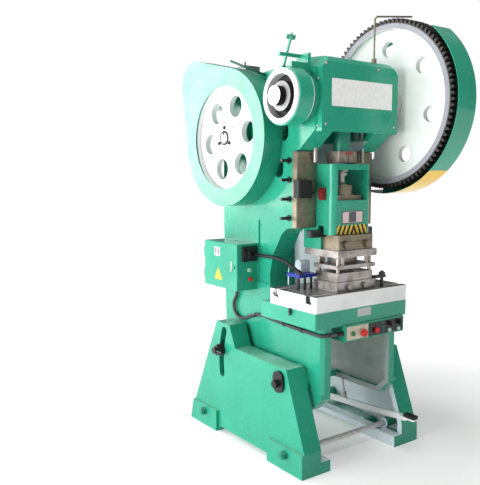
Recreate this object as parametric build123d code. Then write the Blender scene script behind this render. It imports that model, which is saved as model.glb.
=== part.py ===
from build123d import *
import math
import os

os.makedirs("parts", exist_ok=True)

# An open-back inclinable punch press of the 25 tonne class.
# Millimetres, X across the machine, -Y towards the operator, Z up.
# The origin is the centre of the four foundation bolts, on the floor.

# Driving dimensions of the stroke and the shafts
stroke = 80.0
press_y = -270.0
crank_z = 1570.0
gear_module = 8.0
gear_teeth = 94
pinion_teeth = 24
drive_drop = 18.5
motor_y = 430.0
motor_z = 1690.0

# Clearances
fit = 0.05
face_gap = 0.3
loose = 1.0

# Stands
stand_in = 252.0
stand_out = 345.0
stand_plate = 22.0
stand_rim = 26.0
foot_out = 359.0
foot_high = 103.0
foot_front = -437.0
foot_rear = 438.0
foot_long = 236.0
arch_high = 26.0
ledge_in = 200.0
ledge_thick = 24.0
bolt_dx = 226.0
bolt_dy = 320.0
bolt_hole = 11.0
tie_r = 12.0
tie_z = 72.0
tie_front_y = -325.0
tie_rear_y = 306.0
tie_nut = 17.0
tie_nut_thick = 20.0

# Tilting pivot and clamp slot
pivot_z = 367.0
pivot_r = 25.0
pivot_boss_r = 62.0
clamp_radius = 444.0
clamp_angle = 6.2
tilt_range = 14.0
slot_half = 20.0
slot_low = -8.6
slot_high = 18.6
clamp_r = 15.0
clamp_boss_r = 46.0

# Frame casting
wall_out = 230.0
wall = 32.0
wall_in = wall_out - wall
front_flange_in = 125.0
flange_deep = 42.0
rear_flange_in = 160.0
body_front = -409.0
body_low = 245.0
column_rear = 318.0
throat_y = -55.0
throat_top = 1018.0
throat_split = 870.0
guide_y = -208.0
guide_top = 1350.0
crown_front = -352.0
crown_low = 1438.0
crown_top = 1712.0
rim = 24.0

# Bed and bolster
bed_half = 280.0
bed_front = -420.0
bed_rear = -50.0
bed_low = 612.0
bed_top = 682.0
bolster_rear = -116.0
bolster_top = 750.0
slug_r = 55.0
tee_dy = 107.0
tee_mouth = 9.0
tee_head = 16.0
tee_head_high = 13.0
tee_deep = 34.0

# Slide and its guides
slide_half = 117.5
slide_front = -342.0
slide_rear = -158.0
slide_low = 925.0
slide_top = 1296.0
slide_corner = 26.0
window_half = 89.0
window_low = 1139.0
window_top = 1271.0
slide_skin = 22.0
wing_half = 150.0
wing_front = -207.6
wing_rear = -170.0
gib_in = 118.0
gib_thick = 30.0
gib_low = 1020.0
guide_gap = 0.4
shank_r = 20.0
shank_deep = 50.0
clamp_half = 104.0
clamp_front = -370.0
clamp_top = 990.0
clamp_bolt_x = 62.0
clamp_bolt_z = 949.0
clamp_bolt_r = 9.0
knock_z = 996.0
knock_bar = 32.0
knock_half = 190.0
knock_lift = 16.0

# Die set
shoe_left = -124.0
shoe_right = 112.0
shoe_front = -380.0
shoe_rear = -230.0
shoe_thick = 40.0
shoe_top = bolster_top + shoe_thick
holder_thick = 30.0
post_r = 8.0
punch_r = 20.0
sensor_top = 820.0

# Connecting rod and crank
journal_r = 45.0
bush_r = 58.0
crank_pin_r = 40.0
web_half = 62.0
web_thick = 38.0
web_in = 38.0
tail_r = 40.0
rod_half = 36.0
rod_ring_r = 66.0
rod_barrel_r = 38.0
rod_grip_low = 1302.0
rod_grip_high = 1352.0
grip_half = 56.0
cap_bolt_y = 72.0
cap_bolt_r = 7.0
screw_r = 17.0
ball_r = 27.0
seat_thick = 22.0
swing_gap = 9.0

# Gear train
gear_left = 264.0
gear_wide = 92.0
gear_rim_in = 338.0
gear_web_left = 286.0
gear_web_thick = 26.0
gear_holes = 7
gear_hole_r = 36.0
gear_hole_pcr = 252.0
gear_hub_r = 88.0
shaft_r = 32.0
drive_bush_r = 42.0
guard_skin = 3.0
guard_gap = 24.0
gear_guard_r = gear_module * (gear_teeth + 2) / 2 + guard_gap
gear_guard_left = 262.0
gear_guard_wide = 120.0
guard_open_r = gear_guard_r - 108.0
guard_start = 130.0
guard_stop = 284.0
house_r = 118.0
pressure_angle = 20.0
backlash = 0.25

# Flywheel side
belt_guard_left = -332.0
flywheel_r = 290.0
belt_guard_r = flywheel_r + 28.0
belt_guard_motor_r = 112.0
belt_guard_open_r = flywheel_r - 52.0
flywheel_left = -318.0
flywheel_wide = 68.0
flywheel_holes = 6
flywheel_hole_r = 50.0
flywheel_hole_pcr = 154.0
flywheel_turn = 51.0
belt_count = 3
belt_pitch = 19.0
belt_groove = 13.0
belt_deep = 10.0
motor_shaft_r = 14.0
motor_pulley_r = 66.0
brake_left = -352.0
brake_right = -262.0
brake_r = 112.0
band_thick = 6.0
crank_left = -384.0
brake_rod_r = 5.0
brake_lean = 22.0
arm_z = 1734.0

# Sheet cover of the head
cover_half = 226.0
cover_front = -385.0
cover_low = 1428.0
cover_top = 1728.0
cover_rear_top = 1756.0
cover_rear = -150.0
cover_skin = 2.5
oil_x = 95.0
oil_y = -362.0

# Electrics
box_left = -345.0
box_front = 45.0
box_rear = 320.0
box_low = 715.0
box_high = 932.0
door_thick = 14.0
panel_left = -124.0
panel_right = 250.0
panel_front = -430.0
panel_rear = -353.0
panel_low = 540.0
plate_front = -432.0
plate_spans = [(-110.0, 18.0), (24.0, 112.0), (118.0, 240.0)]
green_x = -78.0
green_z = 575.0
e_stop_x = -18.0
e_stop_z = 572.0
red_x = 66.0
red_z = 571.0
selector_x = [152.0, 212.0]
selector_z = 590.0
lamp_z = 560.0
box_lamp_x = -276.0
box_lamp_z = 809.0
start_x = -272.0
start_z = 766.0
knob_x = -295.0
knob_z = 885.0
hinge_x = -338.0
hinge_y = 326.0
conduit_r = 8.0
button_travel = 4.0

# Foot pedal inside the right stand
pedal_x = 240.0
pedal_thick = 16.0
pedal_y = 95.0
pedal_z = 98.0
pedal_rise = 44.0
pedal_tip_y = -470.0
pedal_high = 26.0
pedal_pin_r = 8.0
tread_long = 62.0
tread_half = 26.0
link_y = -75.0
link_lean = 12.0
link_long = 170.0
link_r = 4.5
spring_long = 92.0
spring_coils = 9

# Gib screws
gib_screw_y = -190.0
gib_screw_r = 7.0
gib_screw_low = 1062.0
gib_screw_step = 83.0
gib_screw_count = 4

# Clutch rod and stop screws
clutch_x = 250.0
clutch_y = -36.0
clutch_r = 5.0
clutch_low = 575.0
clutch_arm_z = 1476.0
clutch_travel = 12.0
clutch_collar_r = 86.0
stop_x = 143.0
stop_y = -256.0
stop_z = 1366.0
stop_screw_r = 9.0

gear_pitch_r = gear_module * gear_teeth / 2
pinion_pitch_r = gear_module * pinion_teeth / 2
shaft_gap = gear_pitch_r + pinion_pitch_r + 0.15
drive_y = press_y + shaft_gap * math.cos(math.radians(drive_drop))
drive_z = crank_z - shaft_gap * math.sin(math.radians(drive_drop))
clamp_y = press_y + clamp_radius * math.cos(math.radians(clamp_angle))
clamp_z = pivot_z + clamp_radius * math.sin(math.radians(clamp_angle))
throw = stroke / 2
pin_z = crank_z - throw
ball_z = window_low + seat_thick + swing_gap + ball_r

CENTRE_LOW = (Align.CENTER, Align.CENTER, Align.MIN)


def save(name, *solids):
    """Write one named piece, which may be a group of like solids."""
    flat = []
    for item in solids:
        flat.extend(item.solids())
    export_step(Compound(children=flat) if len(flat) > 1 else flat[0], f"parts/{name}.step")


def block(x, y, z):
    """A box between two corners, each given as a (low, high) pair."""
    size = [high - low for low, high in (x, y, z)]
    middle = [(high + low) / 2 for low, high in (x, y, z)]
    return Pos(*middle) * Box(*size)


def rod_x(y, z, radius, low, high):
    return Pos(low, y, z) * Rot(0, 90, 0) * Cylinder(radius, high - low, align=CENTRE_LOW)


def rod_y(x, z, radius, low, high):
    return Pos(x, high, z) * Rot(90, 0, 0) * Cylinder(radius, high - low, align=CENTRE_LOW)


def rod_z(x, y, radius, low, high):
    return Pos(x, y, low) * Cylinder(radius, high - low, align=CENTRE_LOW)


def tube_x(y, z, outer, inner, low, high):
    return rod_x(y, z, outer, low, high) - rod_x(y, z, inner, low - 1, high + 1)


def side_face(points):
    """A flat outline in the YZ plane."""
    return make_face(Plane.YZ * Polyline(*points, close=True))


def side_plate(face, low, high):
    """The outline as a plate between two X values."""
    return Pos(low, 0, 0) * extrude(face, high - low, dir=(1, 0, 0))


def mirrored(solid):
    return mirror(solid, about=Plane.YZ)


def both(solid):
    return solid + mirrored(solid)


def hexagon_x(y, z, across, low, high):
    prism = extrude(RegularPolygon(across / 2, 6, major_radius=False), high - low)
    return Pos(low, y, z) * Rot(0, 90, 0) * prism


def hexagon_y(x, z, across, low, high):
    prism = extrude(RegularPolygon(across / 2, 6, major_radius=False), high - low)
    return Pos(x, high, z) * Rot(90, 0, 0) * prism


def hexagon_z(x, y, across, low, high):
    prism = extrude(RegularPolygon(across / 2, 6, major_radius=False), high - low)
    return Pos(x, y, low) * prism


def polar(radius, degrees):
    """A point around the tilt pivot, as (y, z)."""
    angle = math.radians(degrees)
    return press_y + radius * math.cos(angle), pivot_z + radius * math.sin(angle)


# Stand legs, tie rods and pivots
def stand_face():
    return side_face([
        (foot_rear, 0), (413, foot_high), (215, 547), (107, 544), (61, 443),
        (-312, 433), (-434, foot_high), (foot_front, 0), (foot_front + foot_long, 0),
        (foot_front + foot_long + 14, arch_high), (foot_rear - foot_long - 14, arch_high),
        (foot_rear - foot_long, 0)])


def slot_solid(half, low, high, grow=0.0):
    """The arc slot around the tilt pivot, between two X values."""
    arc = CenterArc((press_y, pivot_z), clamp_radius, slot_low - grow, slot_high - slot_low + 2 * grow)
    return side_plate(Plane.YZ * SlotArc(arc, 2 * half), low, high)


def make_stand():
    face = stand_face()
    pocket_out = stand_out - stand_plate
    leg = side_plate(face, stand_in, stand_out)
    leg -= side_plate(offset(face, -stand_rim), stand_in - 1, pocket_out)
    whole = side_plate(face, ledge_in, foot_out)
    leg += whole & slot_solid(slot_half + 16, stand_in, stand_out)
    leg += rod_x(press_y, pivot_z, pivot_r + 22, stand_in, stand_out)
    leg += whole & block((ledge_in, stand_in), (foot_front, foot_rear), (0, arch_high + ledge_thick))
    for low, high in ((foot_front, foot_front + foot_long), (foot_rear - foot_long, foot_rear)):
        leg += whole & block((stand_out, foot_out), (low, high), (0, foot_high))
    for y in (tie_front_y, tie_rear_y):
        leg += rod_x(y, tie_z, tie_nut + 6, stand_in, stand_out)
        leg -= rod_x(y, tie_z, tie_r, ledge_in, foot_out + 1)
    for y in (-bolt_dy, bolt_dy):
        leg -= rod_z(bolt_dx, y, bolt_hole, -1, foot_high)
    leg -= slot_solid(slot_half, stand_in - 1, stand_out + 1)
    leg -= rod_x(press_y, pivot_z, pivot_r, stand_in - 1, stand_out + 1)
    return leg


def make_tie_rods():
    rods = []
    for y in (tie_front_y, tie_rear_y):
        reach = foot_out + tie_nut_thick + 6
        rod = rod_x(y, tie_z, tie_r, -reach, reach)
        rods.append(chamfer(rod.edges().filter_by(GeomType.CIRCLE), 2))
        for side in (-1, 1):
            low, high = sorted((side * foot_out, side * (foot_out + tie_nut_thick)))
            rods.append(hexagon_x(y, tie_z, 2 * tie_nut, low, high) - rod_x(y, tie_z, tie_r, low - 1, high + 1))
    return rods


def make_pivot_pin():
    """Trunnion with an oval flange on the stand's outer face and a bolt head."""
    pin = rod_x(press_y, pivot_z, pivot_r, wall_in - 2, stand_out)
    flange = SlotCenterToCenter(26, 68)
    pin += side_plate(Plane.YZ * Pos(press_y, pivot_z + 6, 0) * Rot(0, 0, 90) * flange, stand_out, stand_out + 12)
    pin += hexagon_x(press_y, pivot_z, 30, stand_out + 12, stand_out + 34)
    return pin


def lever_height(y):
    """Middle height of the pedal lever at a place along it."""
    return pedal_z + pedal_rise * (pedal_y - y) / (pedal_y - pedal_tip_y)


def make_pedal_lever():
    half = pedal_high / 2
    low, high = pedal_x - pedal_thick / 2, pedal_x + pedal_thick / 2
    bar = side_plate(side_face([
        (pedal_y, pedal_z - half), (pedal_y, pedal_z + half), (pedal_tip_y, lever_height(pedal_tip_y) + half),
        (pedal_tip_y, lever_height(pedal_tip_y) - half)]), low, high)
    bar += rod_x(pedal_y, pedal_z, 22, low, high)
    plate_z = lever_height(pedal_tip_y) + half
    plate = block((pedal_x - tread_half, pedal_x + 8), (pedal_tip_y - tread_long, pedal_tip_y + 20), (plate_z - 8, plate_z))
    bar += plate
    ear = lever_height(link_y) + half
    bar += block((low + 4, high - 4), (link_y - 9, link_y + 9), (ear - 4, ear + 16))
    bar -= rod_x(link_y, ear + 8, 3 + fit, low, high)
    bar -= rod_x(pedal_y, pedal_z, pedal_pin_r + fit, low - 1, high + 1)
    return bar


def make_pedal_tread():
    top = lever_height(pedal_tip_y) + pedal_high / 2
    pad = block((pedal_x - tread_half, pedal_x + 8), (pedal_tip_y - tread_long, pedal_tip_y), (top, top + 14))
    pad = fillet(pad.edges().filter_by(Axis.Z), 6)
    for step in range(5):
        y = pedal_tip_y - tread_long + 9 + step * 11
        pad -= block((pedal_x - tread_half - 1, pedal_x + 9), (y, y + 4), (top + 11, top + 15))
    return pad


def link_frame():
    """Foot of the link rod, tipped back by its lean."""
    return Pos(pedal_x, link_y, lever_height(link_y) + pedal_high / 2 + 8) * Rot(-link_lean, 0, 0)


def make_pull_rod():
    """Fork over the lever's ear, rod, and a drilled flat at its top."""
    low = link_frame()
    rod = low * Pos(0, 0, 18) * Cylinder(link_r, link_long - 18, align=CENTRE_LOW)
    fork = low * Pos(0, 0, 9.5) * Box(pedal_thick - 1, 14, 29)
    gap = pedal_thick - 8 + 2 * face_gap
    fork -= low * Pos(0, 0, 1) * Box(gap, 20, 30)
    pin = rod_x(link_y, low.position.Z, 3, pedal_x - pedal_thick / 2, pedal_x + pedal_thick / 2)
    tab = low * Pos(0, 0, link_long) * Box(4, 12, 16)
    tab -= low * Pos(0, 0, link_long + 2) * Rot(0, 90, 0) * Cylinder(2.5, 10)
    return rod + fork + pin + tab


def make_pedal_spring():
    """Close-wound return spring from the rod's top to the stud on the stand."""
    start = link_frame() * Pos(0, 0, link_long + 8.5)
    rings = start * Pos(0, 0, 3) * Cylinder(2.5, spring_long - 12, align=CENTRE_LOW)
    for turn in range(spring_coils):
        lift = 8 + turn * (spring_long - 22) / (spring_coils - 1)
        rings += start * Pos(0, 0, lift) * Torus(4.6, 1.6)
    rings += start * Pos(0, 0, 3) * Box(3, 7, 6)
    rings += start * Pos(0, 0, spring_long - 9) * Box(3, 7, 8)
    return rings


def spring_top():
    return (link_frame() * Pos(0, 0, link_long + 8.5 + spring_long - 5)).position


def make_right_stand():
    """The right leg also carries the pedal's pin and the spring's stud."""
    leg = mirrored(mirrored(make_stand()))
    leg += rod_x(pedal_y, pedal_z, 24, pedal_x + pedal_thick / 2 + 1, stand_out - stand_plate)
    leg -= rod_x(pedal_y, pedal_z, pedal_pin_r, pedal_x - 20, stand_out - stand_plate - 4)
    end = spring_top()
    leg += rod_x(end.Y, end.Z + 6.3, 6, pedal_x - 5, stand_out - stand_plate)
    return leg


def make_pedal_pin():
    low = pedal_x - pedal_thick / 2
    pin = rod_x(pedal_y, pedal_z, pedal_pin_r, low - 1, stand_out - stand_plate - 4)
    return pin + rod_x(pedal_y, pedal_z, pedal_pin_r + 5, low - 7, low - 1)


# Frame casting
def frame_face():
    face = side_face([
        (body_front, bed_low + 30), (body_front, body_low + 62), (body_front + 62, body_low), (-40, body_low),
        (215, 330), (296, 452), (306, 640), (column_rear, 1000), (column_rear, 1600), (236, 1690),
        (-60, crown_top), (crown_front, crown_top - 22), (crown_front, crown_low), (guide_y - 42, guide_top + 6),
        (guide_y, guide_top), (guide_y, throat_top), (throat_y - 118, throat_top - 4),
        (throat_y - 82, throat_top - 30), (throat_y - 52, 938), (throat_y - 18, 884), (throat_y, 800),
        (throat_y, bed_top), (body_front + 40, bed_top)])
    return face


def strip(face, dy, low, high, z_low, z_high):
    """What the outline loses when it is pushed along Y: a flange on that edge."""
    plate = side_plate(face, low, high) - Pos(0, dy, 0) * side_plate(face, low - 1, high + 1)
    return plate & block((low, high), (-500, 400), (z_low, z_high))


def make_frame_half():
    face = frame_face()
    half = side_plate(face, wall_in, wall_out)
    half += strip(face, flange_deep, front_flange_in, wall_in, bed_top, crown_low)
    half += strip(face, -30, rear_flange_in, wall_in, 470, 1600)
    lower = side_plate(face, wall_in - 18, wall_in) - side_plate(offset(face, -rim), wall_in - 20, wall_in + 1)
    half += lower & block((0, wall_in), (-500, 400), (0, bed_low))
    # Guide recess for the wings of the slide
    half -= block((front_flange_in - 1, wing_half + guide_gap), (guide_y - 1, wing_rear + guide_gap),
                  (throat_top - 60, guide_top + 20))
    # Bearings of the crank and of the drive shaft
    half += rod_x(press_y, crank_z, bush_r + 40, 148, wall_out + 14)
    half += rod_x(drive_y, drive_z, drive_bush_r + 34, 168, wall_out + 14)
    # Tilting pivot and clamp bosses
    half += rod_x(press_y, pivot_z, pivot_boss_r, wall_in, stand_in - face_gap)
    half += rod_x(clamp_y, clamp_z, clamp_boss_r, wall_in - 10, stand_in - face_gap)
    half -= rod_x(press_y, crank_z, bush_r, 140, wall_out + 20)
    half -= rod_x(drive_y, drive_z, drive_bush_r, 160, wall_out + 20)
    half -= rod_x(press_y, pivot_z, pivot_r + fit, wall_in - 20, stand_in)
    half -= rod_x(clamp_y, clamp_z, clamp_r, wall_in - 20, stand_in)
    # Hand holes beside the head, and the long panel recess of the column
    for y, z, tall in ((-148, 1439, 42), (-115, 1280, 42)):
        hole = SlotCenterToCenter(2 * tall - 60, 60)
        half -= side_plate(Plane.YZ * Pos(y, z, 0) * Rot(0, 0, 90) * hole, wall_in - 1, wall_out + 1)
    half -= block((wall_out - 6, wall_out + 1), (-46, 33), (bed_top + 70, 1043))
    # Gib screw holes
    for z in gib_screw_heights():
        half -= rod_x(gib_screw_y, z, gib_screw_r, front_flange_in + 30, wall_out + 1)
    return half


def gib_screw_heights():
    return [gib_screw_low + gib_screw_step * index for index in range(gib_screw_count)]


def make_frame():
    frame = both(make_frame_half())
    # Bed plate with the slug hole
    bed = block((-bed_half, bed_half), (bed_front, bed_rear), (bed_low, bed_top))
    bed = fillet(bed.edges().filter_by(Axis.Z), 8)
    frame += bed
    frame -= rod_z(0, press_y, slug_r + 14, bed_low - 1, bed_top + 1)
    # Cross walls that tie the two sides together
    frame += block((-wall_in, wall_in), (288, column_rear), (1170, 1560))
    frame += block((-wall_in, wall_in), (270, 298), (480, 660))
    frame += block((-wall_in, wall_in), (-70, 120), (body_low + 6, body_low + 34)) & side_plate(
        frame_face(), -wall_in, wall_in)
    crown = side_plate(frame_face(), -wall_in, wall_in) & block((-wall_in, wall_in), (-120, 240), (1640, crown_top))
    crown -= side_plate(offset(frame_face(), -24), -wall_in, wall_in)
    frame += crown
    # Lugs that guide the clutch rod up the right side
    for z in (760, 1180):
        frame += block((wall_out, clutch_x + 11), (clutch_y - 12, clutch_y + 12), (z, z + 24))
        frame -= rod_z(clutch_x, clutch_y, clutch_r + 0.08, z - 1, z + 25)
    # Lugs for the two stop screws above the slide's shoulders
    for x in (-stop_x, stop_x):
        frame += block((x - 20, x + 20), (stop_y - 14, guide_y + 6), (stop_z, stop_z + 36))
        frame -= rod_z(x, stop_y, stop_screw_r, stop_z - 20, stop_z + 90)
        frame -= rod_z(x, stop_y, 17, stop_z + 36, stop_z + 90)
    # Bracket and arm that hold the brake's tension rod
    reach = wall_out + 14
    frame += block((-reach, -wall_out), (-318, -243), (1640, arm_z + 12))
    frame += block((-350, -reach), (-267, -251), (arm_z, arm_z + 12))
    frame -= brake_line() * Cylinder(brake_rod_r + 2, 200)
    # Soft corners on the front edges of the lower casting
    for side in (-1, 1):
        frame -= Pos(side * wall_out, body_front, 470) * Rot(0, 0, 45) * Box(21, 21, 300)
    # Bed with its legs, the sides of the throat, and the head
    regions = []
    for low, high in ((0, bed_top), (bed_top, throat_split), (throat_split, crown_top + 200)):
        regions.extend((frame & block((-400, 400), (-600, 500), (low, high))).solids())
    return regions


def make_clamp_bolts():
    """Bolt through the stand's slot with its washer, nut and cross handle."""
    out = stand_out + face_gap
    bolt = rod_x(clamp_y, clamp_z, clamp_r, wall_in - 10, out + 48)
    bolt += hexagon_x(clamp_y, clamp_z, 46, wall_in - 30, wall_in - 10)
    bolt += rod_y(out + 40, clamp_z, 5, clamp_y - 58, clamp_y + 20)
    washer = tube_x(clamp_y, clamp_z, 30, clamp_r, out, out + 8)
    nut = hexagon_x(clamp_y, clamp_z, 46, out + 8, out + 32) - rod_x(clamp_y, clamp_z, clamp_r, out, out + 33)
    right = [bolt, washer, nut]
    return right + [mirrored(item) for item in right]


# Bed, bolster and guides
def make_bolster():
    plate = block((-bed_half, bed_half), (bed_front, bolster_rear), (bed_top, bolster_top))
    plate = chamfer(plate.edges().filter_by(Axis.Z), 6)
    low = bolster_top - tee_deep
    for y in (press_y - tee_dy, press_y + tee_dy):
        plate -= block((-bed_half - 1, bed_half + 1), (y - tee_mouth, y + tee_mouth), (low, bolster_top + 1))
        plate -= block((-bed_half - 1, bed_half + 1), (y - tee_head, y + tee_head), (low, low + tee_head_high))
    plate -= rod_z(0, press_y, slug_r, bed_top - 1, bolster_top + 1)
    return plate


def make_gibs():
    gib = block((gib_in, wall_out), (guide_y - gib_thick, guide_y), (gib_low, guide_top))
    edges = gib.edges().filter_by(Axis.Z).group_by(Axis.Y)[0]
    gib = chamfer(edges, 3)
    return [gib, mirrored(gib)]


def make_gib_screws():
    screws = []
    for z in gib_screw_heights():
        for end, side in ((gear_left - 6, 1), (gear_left + 16, -1)):
            screw = rod_x(gib_screw_y, z, gib_screw_r, front_flange_in + 30, end)
            nut = hexagon_x(gib_screw_y, z, 24, wall_out, wall_out + 10)
            screw += nut
            screws.append(screw if side > 0 else mirrored(screw))
    return screws


def make_stop_screws():
    screw = rod_z(stop_x, stop_y, stop_screw_r, stop_z - 64, stop_z + 74)
    screw += hexagon_z(stop_x, stop_y, 28, stop_z + 36, stop_z + 48)
    screw = chamfer(screw.faces().sort_by(Axis.Z)[0].edges(), 2)
    return [screw, mirrored(screw)]


def make_slide():
    slide = block((-slide_half, slide_half), (slide_front, slide_rear), (slide_low, slide_top))
    front = slide.edges().filter_by(Axis.Z).group_by(Axis.Y)[0]
    slide = fillet(front, slide_corner)
    for side in (-1, 1):
        low, high = sorted((side * (slide_half - 1), side * wing_half))
        slide += block((low, high), (wing_front, wing_rear), (gib_low + 26, slide_top - 16))
    slide -= block((-window_half, window_half), (slide_front - 1, slide_rear + 1), (window_low, window_top))
    slide -= block((-window_half, window_half), (slide_front + slide_skin, slide_rear + 1), (window_low, slide_top + 1))
    # Step that takes the shank clamp, shank bore, bolt holes and knock-out slot
    slide -= block((-slide_half - 1, slide_half + 1), (slide_front - 1, press_y), (slide_low - 1, clamp_top + 1))
    slide -= rod_z(0, press_y, shank_r, slide_low - 1, slide_low + shank_deep)
    for x in (-clamp_bolt_x, clamp_bolt_x):
        slide -= rod_y(x, clamp_bolt_z, clamp_bolt_r, press_y - 1, press_y + 45)
    half = knock_bar / 2 + guide_gap
    slide -= block((-slide_half - 1, slide_half + 1), (press_y - half, press_y + half),
                   (knock_z - half, knock_z + half + knock_lift))
    return slide


def make_shank_clamp():
    clamp = block((-clamp_half, clamp_half), (clamp_front, press_y), (slide_low, clamp_top))
    clamp = chamfer(clamp.edges().filter_by(Axis.Z).group_by(Axis.Y)[0], 4)
    half = knock_bar / 2 + guide_gap
    clamp -= block((-clamp_half - 1, clamp_half + 1), (press_y - half, press_y + 1), (knock_z - half, clamp_top + 1))
    clamp -= rod_z(0, press_y, shank_r, slide_low - 1, slide_low + shank_deep)
    clamp -= block((-clamp_half - 1, clamp_half + 1), (clamp_front - 1, clamp_front + 3), (clamp_bolt_z + 12, clamp_bolt_z + 18))
    pieces = [clamp]
    for x in (-clamp_bolt_x, clamp_bolt_x):
        bolt = rod_y(x, clamp_bolt_z, clamp_bolt_r, clamp_front, press_y + 45)
        pieces[0] -= rod_y(x, clamp_bolt_z, clamp_bolt_r, clamp_front - 1, press_y + 1)
        pieces.append(bolt + hexagon_y(x, clamp_bolt_z, 30, clamp_front - 14, clamp_front))
    return pieces


def make_knockout_bar():
    half = knock_bar / 2
    bar = block((-knock_half, knock_half), (press_y - half, press_y + half), (knock_z - half, knock_z + half))
    return chamfer(bar.faces().sort_by(Axis.X)[0].edges() + bar.faces().sort_by(Axis.X)[-1].edges(), 3)


def make_trip_dog():
    dog = block((-slide_half - 28, -slide_half), (-300, -280), (1142, 1194))
    return chamfer(dog.edges().filter_by(Axis.Y).group_by(Axis.X)[0], 8)


def make_trip_switch():
    body = block((-249, -172), (guide_y - gib_thick - 38, guide_y - gib_thick), (1151, 1228))
    body = chamfer(body.edges().filter_by(Axis.Z).group_by(Axis.Y)[0], 6)
    body += rod_x(guide_y - gib_thick - 20, 1172, 5, -172, -152)
    return body


# Crank, connecting rod and adjusting screw
def make_crankshaft():
    shaft = rod_x(press_y, pin_z, crank_pin_r, -web_in, web_in)
    for side in (-1, 1):
        low, high = sorted((side * web_in, side * (wall_out + 20)))
        shaft += rod_x(press_y, crank_z, journal_r, low, high)
        low, high = sorted((side * web_in, side * (web_in + web_thick)))
        shaft += rod_x(press_y, crank_z, web_half, low, high) + rod_x(press_y, pin_z, web_half, low, high)
        shaft += block((low, high), (press_y - web_half, press_y + web_half), (pin_z, crank_z))
    # Grooved stub on the brake side
    shaft += rod_x(press_y, crank_z, tail_r, crank_left, -wall_out - 20)
    for groove in range(3):
        x = crank_left + 7 + groove * 8
        shaft -= tube_x(press_y, crank_z, tail_r + 1, tail_r - 3, x, x + 3)
    # Clutch collar, gear seat and end plate
    shaft += rod_x(press_y, crank_z, clutch_collar_r, wall_out + 18, gear_left - 6)
    shaft += rod_x(press_y, crank_z, tail_r, gear_left - 6, gear_left + gear_wide + 15)
    shaft += rod_x(press_y, crank_z, 60, gear_left + gear_wide + 15, gear_left + gear_wide + 27)
    return shaft


def make_brake_drum():
    drum = tube_x(press_y, crank_z, brake_r, brake_r - 22, brake_left, brake_right)
    drum += tube_x(press_y, crank_z, brake_r - 21, 60, brake_left + 34, brake_right)
    drum += tube_x(press_y, crank_z, 61, tail_r, brake_left + 4, brake_right)
    return drum


def brake_line():
    """Axis of the brake's tension rod, leaning forward from the band's lug."""
    return Pos((brake_left + brake_right) / 2, press_y + 30, crank_z + brake_r + 18) * Rot(brake_lean, 0, 0)


def make_brake_band():
    """Band round the drum, open at the top, with an anchor lug and a pull lug."""
    low, high = brake_left + 10, brake_right - 10
    inner = brake_r + face_gap
    top = crank_z + brake_r
    band = tube_x(press_y, crank_z, inner + band_thick, inner, low, high)
    band -= block((low - 1, high + 1), (press_y - 26, press_y + 16), (crank_z, top + 20))
    band += block((low + 16, high - 16), (press_y + 16, press_y + 40), (top - 6, top + 14))
    band += block((low + 16, -wall_out - 14), (press_y - 42, press_y - 26), (top - 8, top + 24))
    return band - rod_x(press_y, crank_z, inner, low - 1, -wall_out)


def make_brake_rod():
    line = brake_line()
    rod = line * Pos(0, 0, -3) * Cylinder(brake_rod_r, 134, align=CENTRE_LOW)
    rod -= make_brake_band()
    nut = line * Pos(0, 0, 104) * Cylinder(10, 14, align=CENTRE_LOW)
    for side in (-1, 1):
        nut += line * Pos(side * 15, 0, 115) * Box(16, 4, 18)
    nut -= line * Cylinder(brake_rod_r, 140, align=CENTRE_LOW)
    spring = line * Pos(0, 0, 58) * Cylinder(brake_rod_r + 3, 46, align=CENTRE_LOW)
    for turn in range(6):
        spring += line * Pos(0, 0, 63 + turn * 7.2) * Torus(8.4, 1.9)
    spring -= line * Cylinder(brake_rod_r, 140, align=CENTRE_LOW)
    return [rod, nut, spring]


def make_connecting_rod():
    rod = rod_x(press_y, pin_z, rod_ring_r, -rod_half, rod_half)
    rod -= block((-rod_half - 1, rod_half + 1), (press_y - 100, press_y + 100), (pin_z, pin_z + 100))
    rod += rod_z(0, press_y, rod_barrel_r, rod_grip_high - 1, pin_z - crank_pin_r - 6)
    grip = block((-grip_half, grip_half), (press_y - 42, press_y + 42), (rod_grip_low, rod_grip_high))
    rod += fillet(grip.edges().filter_by(Axis.Z), 8)
    for side in (-1, 1):
        y = press_y + side * cap_bolt_y
        rod += block((-rod_half + 4, rod_half - 4), (y - 15, y + 15), (pin_z - 34, pin_z))
    rod -= rod_x(press_y, pin_z, crank_pin_r + fit, -rod_half - 1, rod_half + 1)
    rod -= rod_z(0, press_y, screw_r + fit, rod_grip_low - 1, pin_z - rod_ring_r - 6)
    for side in (-1, 1):
        rod -= rod_z(0, press_y + side * cap_bolt_y, cap_bolt_r, pin_z - 40, pin_z + 1)
    rod -= block((-1.5, 1.5), (press_y - 43, press_y - screw_r + 2), (rod_grip_low - 1, rod_grip_high + 1))
    return rod


def make_rod_cap():
    cap = rod_x(press_y, pin_z, rod_ring_r, -rod_half, rod_half)
    for side in (-1, 1):
        y = press_y + side * cap_bolt_y
        cap += block((-rod_half + 4, rod_half - 4), (y - 15, y + 15), (pin_z, pin_z + 28))
    cap -= block((-rod_half - 1, rod_half + 1), (press_y - 110, press_y + 110), (pin_z - 100, pin_z))
    cap -= rod_x(press_y, pin_z, crank_pin_r + fit, -rod_half - 1, rod_half + 1)
    pieces = []
    for side in (-1, 1):
        y = press_y + side * cap_bolt_y
        cap -= rod_z(0, y, cap_bolt_r, pin_z - 1, pin_z + 100)
        bolt = rod_z(0, y, cap_bolt_r, pin_z - 34, pin_z + 34) + hexagon_z(0, y, 24, pin_z + 28, pin_z + 40)
        pieces.append(bolt - cap)
    return [cap] + pieces


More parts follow.
